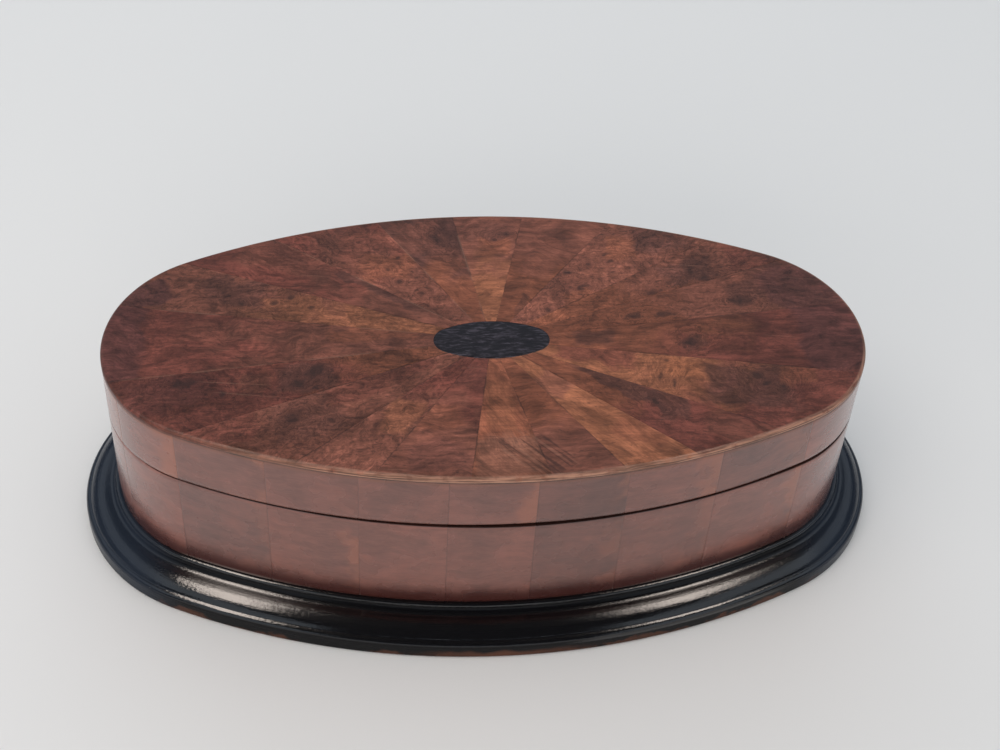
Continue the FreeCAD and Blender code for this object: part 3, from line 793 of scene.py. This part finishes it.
def add_centre_oval():
    """The ebony oval, a little rounded over at its edge."""
    points, normals, _ = INLAY.ring(0.5)
    contour = [(0.0, VENEER_LEVEL)] + [(out, TOP - depth) for out, depth in OVAL_EDGE]
    rings = [np.column_stack([points + out * normals, np.full(len(points), z)]) for out, z in contour]
    for share in OVAL_RINGS:
        flat = share * points
        z = TOP - OVAL_DEPTH + OVAL_WAVE * unevenness(flat[:, 0] * 4, flat[:, 1] * 4)
        rings.append(np.column_stack([flat, z]))
    piece = Piece()
    piece.loft(np.stack(rings) + np.array([HUB.x, HUB.y, 0.0]))
    piece.place("oval_inlay", ebony_wood(), "lid", "ebony", "centre_oval")


# Lightness and warmth of the leaves along the front, from left to right, and of all the others
BODY_FRONT_LOOKS = (
    (0.96, 0.15), (0.98, 0.55), (1.00, 0.62), (0.98, 0.60), (0.84, 0.30), (0.98, 0.50), (1.10, 0.62),
)
LID_FRONT_LOOKS = (
    (1.00, 0.50), (0.98, 0.50), (0.97, 0.45), (1.00, 0.42), (0.84, 0.15), (0.98, 0.42), (0.90, 0.20),
)
OTHER_LOOKS = (
    (1.00, 0.45), (0.94, 0.55), (1.04, 0.35), (0.97, 0.50), (1.02, 0.30), (0.93, 0.45), (1.00, 0.55),
)


# Colours of the leaves: cool and warm wood, orange patches, dirt and painted shade at the foot,
# glue under the top
LEAF_COOL = (0.144, 0.062, 0.051)
LEAF_WARM = (0.200, 0.069, 0.049)
LEAF_PATCH = (0.290, 0.100, 0.058)
FOOT_DIRT_AND_SHADE = (0.045, 0.012, 0.010)
GLUE = (0.200, 0.070, 0.030)
LEAVES_APART = 31.0


def leaf_figure(g, leaf, cloud, figure, fibre):
    """A leaf's tone with its figure, and an orange patch at the far end of some leaves."""
    shade = g.product(
        g.ramp(cloud, 0.30, 0.70, 0.88, 1.12),
        g.ramp(figure, 0.28, 0.72, 0.87, 1.13),
        g.ramp(fibre, 0.30, 0.70, 0.90, 1.10),
        g.mark("light"),
    )
    warm = g.shifted(g.mark("warm"), cloud, 0.9, clamp=True)
    colour = g.scaled(g.mix(warm, LEAF_COOL, LEAF_WARM), shade)
    chance = g.node("TexWhiteNoise", {"W": leaf}, noise_dimensions="1D").outputs["Value"]
    across = g.ramp(g.shifted(g.mark("across"), cloud, 1.6), 0.74, 1.02)
    return g.cover(colour, LEAF_PATCH, across, g.ramp(chance, 0.40, 0.75), 0.60)


def leaf_dirt_and_shade(g, colour, level, cloud, figure):
    """Dirt and painted shade at the foot, dirt in the joints, painted shade at the gap, and glue and a dark
    line under the top.
    """
    # Darker towards the foot: dirt, and painted shade above the plinth
    foot = g.ramp(g.shifted(level, cloud, 5.0), PLINTH_TOP + 8.5, PLINTH_TOP + 2.2)
    colour = g.cover(colour, FOOT_DIRT_AND_SHADE, foot, 0.92)
    glue = g.ramp(g.shifted(level, cloud, 1.6), VENEER_LEVEL - 2.2, VENEER_LEVEL - 0.5)
    colour = g.cover(colour, GLUE, glue, 0.35)
    line = g.ramp(level, VENEER_LEVEL - 0.75, VENEER_LEVEL - 0.25)
    colour = g.cover(colour, GRIME_AND_SHADE, line, g.ramp(figure, 0.25, 0.60, 0.85, 0.45))
    joint = g.ramp(g.mark("from_joint"), 0.26, 0.04)
    colour = g.cover(colour, GRIME_AND_SHADE, joint, g.ramp(cloud, 0.35, 0.62, 0.05, 0.38))
    # Painted shade along the leaves' edges at the gap between lid and body
    return g.cover(colour, GRIME_AND_SHADE, g.ramp(g.mark("from_gap"), 0.30, 0.02), 0.80)


def leaf_wood():
    """The plainer wood of the side leaves, each cut from another place."""
    g = Graph("leaf_wood")
    level = g.mark("level")
    leaf = g.mark("leaf")
    places = {0: g.mark("way"), 1: level, 2: g.product(leaf, LEAVES_APART)}
    spot = g.node("CombineXYZ", places).outputs[0]
    flow = g.swayed(spot, 0.07, 8.0)
    figure = g.drawn(flow, 0.22, 0.40, 5.0, 0.55)
    fibre = g.drawn(flow, 0.06, 2.4)
    cloud = g.noise(spot, 0.07, 3.0, 0.55)
    colour = leaf_figure(g, leaf, cloud, figure, fibre)
    colour = leaf_dirt_and_shade(g, colour, level, cloud, figure)
    relief = g.math("MULTIPLY_ADD", figure, 0.5, g.product(fibre, 0.3))
    polish = g.ramp(cloud, 0.3, 0.7, 0.22, 0.32)
    lacquer = {"Coat Weight": 0.75, "Coat Roughness": 0.22}
    return g.shader(colour, polish, g.bump(relief, 0.04, 0.45), lacquer)


# Shape of the leaves: how their joints and edges are eased, and how close their points lie
JOINT_STEPS = (0.0, 0.15, 0.5)
JOINT_EASE = (0.05, 0.01, 0.0)
LEAF_STEP = 1.2
LEVEL_STEP = 1.2
EDGE_EASE = 0.30
EDGE_EASE_IN = 0.18
NOTCH_STEP = 0.02

# How far the leaves close the joint from both sides, at places along the front, and from where
# on and how fast a closed joint loses its painted shade
GAP_PLACES = (-117.0, -108.0, -100.0, -60.0, -25.0, 10.0, 35.0, 75.0, 100.0, 117.0)
GAP_CLOSED = (0.66, 0.66, 0.50, 0.42, 0.20, 0.0, 0.22, 0.26, 0.0, 0.0)
FRONT_DEPTH = 8.0
SHADE_FREE_FROM = 0.42
SHADE_FADE_RATE = 1.5

# How much paler the leaves of each side are painted, as painted light on the ends
SIDE_PAINTED_LIGHT = {"front": 0.98, "right": 1.26, "back": 1.0, "left": 1.14}


def leaf_stations(radius, centre_x, first, last, notched):
    """Directions along a leaf, closer at its joints and at the edges of a hinge's room."""
    steps = np.array(JOINT_STEPS) / radius
    near = first + steps
    far = (last - steps)[::-1]
    count = max(3, int(radius * (last - first) / LEAF_STEP))
    inside = np.linspace(near[-1], far[0], count)[1:-1]
    angles = np.concatenate([near, inside, far])
    if notched:
        ends = [side * HINGE_PLACE + end * HINGE_ROOM for side in (-1, 1) for end in (-1, 1)]
        cuts = [end + step for end in ends for step in (-NOTCH_STEP, NOTCH_STEP)]
        turns = np.arccos((np.array(cuts) - centre_x) / radius)
        angles = np.sort(np.concatenate([angles, turns[(turns > first) & (turns < last)]]))
    return angles


def leaf_edges(owner, run, x, y, low, high):
    """Levels of a leaf's lower and upper edge, and how far the leaf closes the joint."""
    bottom = np.full(len(x), low)
    top = np.full(len(x), high)
    at_hinge = (np.abs(np.abs(x) - HINGE_PLACE) < HINGE_ROOM) & (run == "back")
    closed = np.clip(-y / FRONT_DEPTH, 0, 1) * np.interp(x, GAP_PLACES, GAP_CLOSED)
    if owner == "case":
        top = np.where(at_hinge, HINGE_LEVEL - HINGE_DEPTH, top) + closed
    else:
        bottom = np.where(at_hinge, HINGE_LEVEL + HINGE_DEPTH, bottom) - closed
    return bottom, top, closed


def leaf_looks(owner, run, number):
    """A number that tells the leaf from all others, its lightness with its side's painted light, and its
    warmth.
    """
    looks = OTHER_LOOKS
    if run == "front":
        looks = LID_FRONT_LOOKS if owner == "lid" else BODY_FRONT_LOOKS
    light, warm = looks[number - 1]
    leaf = number + 10 * list(BOX.arcs()).index(run) + (50 if owner == "lid" else 0)
    # The lightness carries the painted light of the leaf's side
    return {"leaf": leaf, "light": light * SIDE_PAINTED_LIGHT[run], "warm": warm}


def add_leaf(piece, owner, run, number, start, end, low, high):
    """One leaf between two directions on an arc of the outline, eased at its edges."""
    centre_x, centre_y, radius, first, _ = BOX.arcs()[run]
    angles = leaf_stations(radius, centre_x, start, end, run == "back")
    out = np.stack([np.cos(angles), np.sin(angles)], -1)
    x, y = (np.array([centre_x, centre_y]) + radius * out).T
    bottom, top, closed = leaf_edges(owner, run, x, y, low, high)
    apart = np.minimum(angles - start, end - angles) * radius
    face = -np.interp(apart, JOINT_STEPS, JOINT_EASE)
    rows = max(4, int((high - low) / LEVEL_STEP))
    levels = bottom + EDGE_EASE + np.linspace(0, 1, rows)[:, None] * (top - bottom - 2 * EDGE_EASE)
    back = np.full(len(angles), -SIDE_VENEER)
    eased = face - EDGE_EASE_IN
    offsets = np.stack([back, eased, *([face] * rows), eased, back], 1)
    heights = np.concatenate([[bottom], [bottom], levels, [top], [top]]).T
    flat = np.array([centre_x, centre_y]) + (radius + offsets)[..., None] * out[:, None]
    from_gap = top[:, None] - heights if owner == "case" else heights - bottom[:, None]
    piece.loft(
        np.concatenate([flat, heights[..., None]], -1),
        level=heights,
        # Where the leaves close the joint, the painted shade at the gap fades
        from_gap=from_gap + SHADE_FADE_RATE * np.maximum(closed - SHADE_FREE_FROM, 0.0)[:, None],
        way=(radius * (angles - first))[:, None],
        from_joint=apart[:, None],
        across=((angles - start) / (end - start))[:, None],
        **leaf_looks(owner, run, number),
    )


def add_leaves(owner, run, low, high, material):
    """The leaves of the body or the lid over one arc of the outline."""
    first, last = BOX.arcs()[run][-2:]
    shares = np.array(SIDE_JOINT_SHARES if run in ("front", "back") else END_JOINT_SHARES)
    joints = (first + last) / 2 + shares * (last - first) / 2
    piece = Piece()
    for number, (start, end) in enumerate(zip(joints, joints[1:]), start=1):
        add_leaf(piece, owner, run, number, start, end, low, high)
    prefix = "lid" if owner == "lid" else "body"
    piece.place(f"{prefix}_veneer_{run}", material, owner, "side_veneer", f"{prefix}_leaves_{run}")


# Profile of the plinth, from the wall outwards and down
BEAD_FLAT = 0.5
BEAD_RADIUS = 0.8
BEAD_DROP = 0.2
COVE_WIDTH = 2.4
COVE_DROP = 2.1
OVOLO_DROP = 2.9
QUIRK_DROP = 0.3
LOWER_BEAD = 1.7
TOE = 0.5
UNDER_WALL = -4.0
BESIDE_WALL = -0.4
UNDERSIDE = -12.0

# How far the moulding's corners are worn round, in steps along it
WEAR_STEP = 0.14
WEAR_REACH = 4
WEAR_FALL = 2.0

# The plinth's polish, the wood under it and the dust on it
BLACK_POLISH = (0.0030, 0.0030, 0.0038)
BARE_FOOT = (0.085, 0.034, 0.020)
DUST = (0.30, 0.28, 0.26)

# Where along the box the foot is worn bare in front and where it has kept its gloss, and half
# the length of these places
WORN_FOOT_PLACE = 2.0
WORN_FOOT_LENGTH = 34.0
GLOSSY_FOOT_PLACE = 58.0
GLOSSY_FOOT_LENGTH = 44.0

# Where along the box the gloss fades towards its two ends, and the bluish painted reflection of the room
# there
DULL_ENDS = (92.0, 112.0)
PAINTED_END_SHEEN = (0.015, 0.021, 0.033)


def arc(first, last, above, steps):
    """Points of an arc whose centre stands straight above or below one of its ends."""
    upright, other = (first, last) if above == "first" else (last, first)
    across = other[0] - upright[0]
    centre = (across ** 2 + other[1] ** 2 - upright[1] ** 2) / (2 * (other[1] - upright[1]))
    radius = abs(upright[1] - centre)
    begin = math.atan2(first[1] - centre, first[0] - upright[0])
    finish = math.atan2(last[1] - centre, last[0] - upright[0])
    turn = math.remainder(finish - begin, 2 * math.pi)
    angles = begin + np.linspace(0, 1, steps) * turn
    return [(upright[0] + radius * math.cos(a), centre + radius * math.sin(a)) for a in angles]


def way_along(points):
    """How far each point lies along a line through all of them."""
    return np.concatenate([[0], np.cumsum(np.linalg.norm(np.diff(points, axis=0), axis=1))])


def softened(points):
    """The same line with its corners worn round."""
    along = way_along(points)
    even = np.linspace(0, along[-1], int(along[-1] / WEAR_STEP))
    reach = np.arange(-WEAR_REACH, WEAR_REACH + 1)
    weights = np.exp(-WEAR_FALL * (reach / WEAR_REACH) ** 2)
    weights /= weights.sum()
    sides = []
    for side in points.T:
        line = np.interp(even, along, side)
        sides.append(np.convolve(np.pad(line, WEAR_REACH, "edge"), weights, "valid"))
    return np.column_stack(sides)


def plinth_profile():
    bead_level = PLINTH_TOP - BEAD_RADIUS
    cove_top = bead_level - BEAD_DROP
    cove_level = cove_top - COVE_DROP
    ovolo_level = cove_level - OVOLO_DROP
    quirk_level = ovolo_level - QUIRK_DROP
    bead_out = BEAD_FLAT + BEAD_RADIUS
    cove_out = bead_out + COVE_WIDTH
    ovolo_out = PLINTH_OUT - LOWER_BEAD
    points = [(UNDER_WALL, PLINTH_TOP), (BESIDE_WALL, PLINTH_TOP)]
    points += arc((BEAD_FLAT, PLINTH_TOP), (bead_out, bead_level), "first", 7)
    points += arc((bead_out, cove_top), (cove_out, cove_level), "last", 9)
    points += arc((cove_out, cove_level), (ovolo_out, ovolo_level), "first", 18)
    points += arc((ovolo_out, quirk_level), (PLINTH_OUT, quirk_level - LOWER_BEAD), "first", 10)
    points += [(PLINTH_OUT, TOE)]
    return np.concatenate([softened(np.array(points)), [(PLINTH_OUT - TOE, 0.0), (UNDERSIDE, 0.0)]])


def worn_foot(g, parts, patchy):
    """How far the polish is worn off the foot, in patches all round and bare in front."""
    height = parts["Z"]
    foot = g.math("ADD", height, g.math("MULTIPLY_ADD", patchy, 14.0, -6.6))
    patches = g.product(g.ramp(foot, 2.4, 0.6), g.ramp(height, 4.8, 2.6), 0.7)
    bare = g.product(
        g.ramp(g.apart(parts["X"], WORN_FOOT_PLACE), WORN_FOOT_LENGTH, 0.0),
        g.ramp(parts["Y"], -60.0, -66.0),
        g.ramp(g.math("MULTIPLY_ADD", patchy, 4.0, height), 5.6, 3.6),
    )
    return g.math("MAXIMUM", patches, bare)


def plinth_gloss(g, parts, at_end):
    """Gloss, lost at the foot but for one place, in the dusty cove and towards the ends."""
    height = parts["Z"]
    kept = g.product(
        g.ramp(g.apart(parts["X"], GLOSSY_FOOT_PLACE), GLOSSY_FOOT_LENGTH, 20.0),
        g.ramp(parts["Y"], -20.0, -40.0),
        g.ramp(height, 3.4, 4.4),
    )
    gloss = g.math("MAXIMUM", g.ramp(height, 4.3, 6.0), kept)
    dusty = g.product(g.ramp(height, 9.5, 10.2), g.ramp(height, 11.7, 11.3))
    return g.product(gloss, g.ramp(dusty, 0.0, 1.0, 1.0, 0.15), g.ramp(at_end, 0.0, 1.0, 1.0, 0.40))


def ebonised_wood():
    """Black polish on the moulding, streaky along it, worn brown at the foot, with dust, and a painted
    bluish reflection towards the ends.
    """
    g = Graph("ebonised_wood")
    spot = g.millimetres()
    parts = g.parts(spot)
    marks = {0: g.mark("round_x"), 1: g.mark("round_y"), 2: g.mark("contour")}
    lie = g.node("CombineXYZ", marks).outputs[0]
    streak = g.noise(g.vector("MULTIPLY", lie, (0.06, 0.06, 1.0)), 1.5, 4.0, 0.6)
    patchy = g.noise(spot, 0.10, 3.0, 0.6)
    colour = g.mix(worn_foot(g, parts, patchy), BLACK_POLISH, BARE_FOOT)
    at_end = g.ramp(g.math("ABSOLUTE", parts["X"]), *DULL_ENDS)
    # Painted bluish reflection of the room towards the ends
    colour = g.mix(at_end, colour, PAINTED_END_SHEEN)
    specks = g.node("TexVoronoi", {"Vector": spot, "Scale": 0.55}).outputs
    chosen = g.math("LESS_THAN", specks["Color"], 0.06)
    colour = g.cover(colour, DUST, g.ramp(specks["Distance"], 0.09, 0.05), chosen, 0.6)
    polish = g.math("MULTIPLY_ADD", patchy, 0.14, g.math("MULTIPLY_ADD", streak, 0.22, 0.10))
    relief = g.math("ADD", streak, g.product(patchy, 0.6))
    grit = g.noise(g.vector("MULTIPLY", lie, (0.6, 0.6, 1.0)), 1.9)
    normal = g.bump(grit, 0.05, 0.6, g.bump(relief, 0.12, 0.5))
    lacquer = {"Specular IOR Level": 0.06, "Coat Roughness": 0.07, "Coat IOR": 1.6}
    lacquer["Coat Weight"] = g.ramp(plinth_gloss(g, parts, at_end), 0.0, 1.0, 0.15, 1.0)
    return g.shader(colour, polish, normal, lacquer)


def add_plinth():
    """The moulded plinth, swept round the oval."""
    profile = plinth_profile()
    points, normals, ways = BOX.ring(1.0)
    rings = [np.column_stack([points + out * normals, np.full(len(points), z)]) for out, z in profile]
    length = ways[-1] + np.linalg.norm(points[-1] - points[0])
    turn = 2 * np.pi * ways / length
    radius = length / (2 * np.pi)
    piece = Piece()
    piece.loft(
        np.stack(rings),
        round_x=radius * np.cos(turn),
        round_y=radius * np.sin(turn),
        contour=way_along(profile)[:, None],
    )
    piece.place("moulded_plinth", ebonised_wood(), "case", "ebonised_wood", "base_plinth", SHARP_PLINTH)


# Nodes of plain wood with its colours, and half the height of the painted shade at the joint
PLAIN_NODES = ("floor_panel", "body_wall", "body_liner", "lid_rim", "lid_board")
PLAIN_DARK = (0.115, 0.050, 0.026)
PLAIN_PALE = (0.300, 0.155, 0.085)
PLAIN_PORE = (0.060, 0.025, 0.014)
JOINT_SHADE = (LID_EDGE - BODY_RIM) / 2 + 0.12

# Clean and browned brass of the hinges
BRASS = (0.62, 0.43, 0.17)
BROWN_BRASS = (0.30, 0.18, 0.075)


def plain_wood():
    """Unpolished wood of the hidden rings and boards, with straight grain along the box."""
    g = Graph("plain_wood")
    spot = g.millimetres()
    flow = g.swayed(spot, 0.03, 10.0)
    grain = g.noise(g.vector("MULTIPLY", flow, (0.05, 1.0, 0.6)), 0.55, 6.0, 0.65)
    pore = g.drawn(flow, 0.10, 2.6)
    cloud = g.noise(spot, 0.03, 3.0)
    shade = g.math("MULTIPLY_ADD", grain, 1.2, g.math("MULTIPLY_ADD", cloud, 0.5, -0.35), clamp=True)
    colour = g.mix(shade, PLAIN_DARK, PLAIN_PALE)
    colour = g.mix(g.ramp(pore, 0.58, 0.70, 0.0, 0.6), colour, PLAIN_PORE)
    # Painted shade on the wood inside, where the joint between lid and body opens
    gap = g.ramp(g.apart(g.parts(spot)["Z"], HINGE_LEVEL), JOINT_SHADE + 1.2, JOINT_SHADE)
    colour = g.cover(colour, GRIME_AND_SHADE, gap, 0.85)
    normal = g.bump(g.math("SUBTRACT", grain, pore), 0.06, 0.5)
    return g.shader(colour, g.ramp(cloud, 0.3, 0.7, 0.50, 0.62), normal)


def old_brass():
    """Hinge brass, dulled and a little brown, with fine file marks."""
    g = Graph("old_brass")
    spot = g.millimetres()
    cloud = g.noise(spot, 0.45, 4.0, 0.6)
    marks = g.noise(g.vector("MULTIPLY", spot, (0.2, 3.0, 3.0)), 2.0)
    colour = g.mix(g.ramp(cloud, 0.38, 0.66), BRASS, BROWN_BRASS)
    polish = g.math("MULTIPLY_ADD", cloud, 0.3, 0.2)
    return g.shader(colour, polish, g.bump(marks, 0.02, 0.4), {"Metallic": 1.0})


def dress_cad_nodes():
    """Materials for the CAD nodes that show as they are."""
    wood = plain_wood()
    brass = old_brass()
    for name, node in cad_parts.items():
        hinge = "hinge" in name
        if hinge or name in PLAIN_NODES:
            node.data.materials.clear()
            node.data.materials.append(brass if hinge else wood)


# The photograph's camera, fitted to the outlines, with the picture's width in pixels
CAMERA_PLACE = Vector((-0.0430549, -0.3714761, 0.4126885))
CAMERA_ELEVATION = 44.0
CAMERA_YAW = 7.2317
CAMERA_ROLL = 3.8327
FOCAL_PIXELS = 1662.58
PICTURE_WIDTH = 1000
SENSOR = 36.0
NEAREST, FARTHEST = 0.01, 20.0


def add_camera():
    data = bpy.data.cameras.new("camera")
    data.sensor_width = SENSOR
    data.lens = FOCAL_PIXELS / PICTURE_WIDTH * SENSOR
    data.clip_start = NEAREST
    data.clip_end = FARTHEST
    item = add_object("camera", data)
    yaw = Matrix.Rotation(math.radians(-CAMERA_YAW), 4, "Z")
    tilt = Matrix.Rotation(math.radians(90.0 - CAMERA_ELEVATION), 4, "X")
    roll = Matrix.Rotation(math.radians(CAMERA_ROLL), 4, "Z")
    item.matrix_world = Matrix.Translation(CAMERA_PLACE) @ yaw @ tilt @ roll
    bpy.context.scene.camera = item


# The floor of pale paper, half its side in metres, and where it is painted paler far off as painted light,
# in millimetres
FLOOR_HALF = 3.0
FLOOR_COLOUR = (0.738, 0.750, 0.756)
FAR_PAINTED_LIGHT = (0.93, 0.94, 0.945)
FAR_REACH = (450.0, 1500.0)
PAPER_SHADES = (0.985, 1.015)

# The pale background, and the strength and colour of the even light
PALE = (0.62, 0.69, 0.77, 1.0)
AMBIENT = 0.59
AMBIENT_COLOUR = (0.96, 1.0, 1.035, 1.0)


def add_sheet(name, corners, material):
    """A flat sheet of the studio, through four corners in metres."""
    mesh = bpy.data.meshes.new(name)
    mesh.from_pydata(corners, [], [(0, 1, 2, 3)])
    mesh.materials.append(material)
    item = add_object(name, mesh)
    return item


def add_floor():
    g = Graph("floor_paper")
    spot = g.millimetres()
    colour = g.mix(g.noise(spot, 0.004), *(tinted(FLOOR_COLOUR, shade) for shade in PAPER_SHADES))
    # Painted light: the floor is painted paler far from the box
    colour = g.mix(g.ramp(g.length(spot), *FAR_REACH), colour, FAR_PAINTED_LIGHT)
    paper = g.shader(colour, 0.9, g.bump(g.noise(spot, 2.0), 0.02, 0.2))
    edge = FLOOR_HALF
    add_sheet("floor", [(-edge, -edge, 0), (edge, -edge, 0), (edge, edge, 0), (-edge, edge, 0)], paper)


# Dark cards above, in front of and low round the box, that only its reflections show: half the
# ceiling's width and its two edges; half the front's width, its place and its foot; and how far
# away and how high the low ones are
CARD_COLOUR = (0.030, 0.030, 0.034)
CARD_HEIGHT = 1.35
CEILING_CARD = (1.0, -1.7, 1.3)
FRONT_CARD = (0.36, -0.75, 0.10)
LOW_CARD = (2.0, 0.95)
LOW_CARD_FOOT = 0.02


def upright(first, last, low, high):
    """Corners of an upright sheet between two places on the floor."""
    return [(*first, low), (*last, low), (*last, high), (*first, high)]


def add_cards():
    card = Graph("dark_card").shader((*CARD_COLOUR, 1.0), 1.0)
    wide, near, far = CEILING_CARD
    top = CARD_HEIGHT
    side, away, foot = FRONT_CARD
    out, high = LOW_CARD
    low = LOW_CARD_FOOT
    sheets = {
        "ceiling_card": [(-wide, near, top), (wide, near, top), (wide, far, top), (-wide, far, top)],
        "front_card": upright((-side, away), (side, away), foot, top),
        "back_card": upright((-out, out), (out, out), low, high),
        "left_card": upright((-out, -out), (-out, out), low, high),
        "right_card": upright((out, -out), (out, out), low, high),
    }
    for name, corners in sheets.items():
        item = add_sheet(name, corners, card)
        item.visible_camera = False
        item.visible_diffuse = False
        item.visible_transmission = False
        item.visible_shadow = False


def add_world():
    """Even light from all round, seen as a pale background directly and in reflections."""
    g = Graph("studio", "worlds")
    rays = g.node("LightPath").outputs
    seen = rays["Is Camera Ray"]
    for ray in ("Is Glossy Ray", "Is Transmission Ray"):
        seen = g.math("MAXIMUM", seen, rays[ray])
    light = g.node("Background", {"Color": AMBIENT_COLOUR, "Strength": AMBIENT}).outputs[0]
    pale = g.node("Background", {"Color": PALE}).outputs[0]
    choice = g.node("MixShader", {0: seen, 1: light, 2: pale}).outputs[0]
    g.node("OutputWorld", {0: choice})
    bpy.context.scene.world = g.owner


# A soft lamp: place and size in metres, tilt and turn in degrees, power, colour and use
PANEL_FIELDS = "name place width length tilt turn power colour mirrored lights"
Panel = namedtuple("Panel", PANEL_FIELDS, defaults=(True, True))

WARM = (1.0, 0.88, 0.79)
COOL = (0.90, 1.0, 1.10)
PANELS = (
    Panel("left_panel", (-0.53, -0.22, 1.10), 0.21, 0.80, 0.0, -24.7, 5.2, WARM, lights=False),
    Panel("right_panel", (0.49, -0.04, 1.10), 0.22, 0.58, 0.0, 17.0, 3.7, WARM, lights=False),
    Panel("key_panel", (-0.75, -0.35, 1.20), 0.90, 0.90, 0.0, 0.0, 4.0, WARM, mirrored=False),
    Panel("top_panel", (0.10, 0.10, 2.20), 2.00, 2.00, 0.0, 0.0, 6.0, WARM, mirrored=False),
    Panel("front_panel", (-0.55, -1.50, 0.65), 1.80, 0.80, 68.0, -20.0, 11.0, WARM, mirrored=False),
    Panel("back_panel", (-0.10, 1.70, 1.15), 2.20, 0.90, -57.0, 3.0, 8.0, COOL, mirrored=False),
)


def add_panel(panel):
    data = bpy.data.lights.new(panel.name, "AREA")
    data.shape = "RECTANGLE"
    data.size = panel.width
    data.size_y = panel.length
    data.energy = panel.power
    data.color = panel.colour
    item = add_object(panel.name, data)
    item.location = panel.place
    item.rotation_euler = (math.radians(panel.tilt), 0.0, math.radians(panel.turn))
    item.visible_glossy = panel.mirrored
    item.visible_diffuse = panel.lights


for number in range(1, len(WEDGES) + 1):
    add_wedge(number)
add_centre_oval()
side_wood = leaf_wood()
for run in BOX.arcs():
    add_leaves("case", run, PLINTH_TOP, BODY_RIM, side_wood)
    add_leaves("lid", run, LID_EDGE, VENEER_LEVEL, side_wood)
add_plinth()
dress_cad_nodes()
add_floor()
add_cards()
add_world()
for panel in PANELS:
    add_panel(panel)
add_camera()
bpy.context.scene.view_settings.view_transform = "Standard"
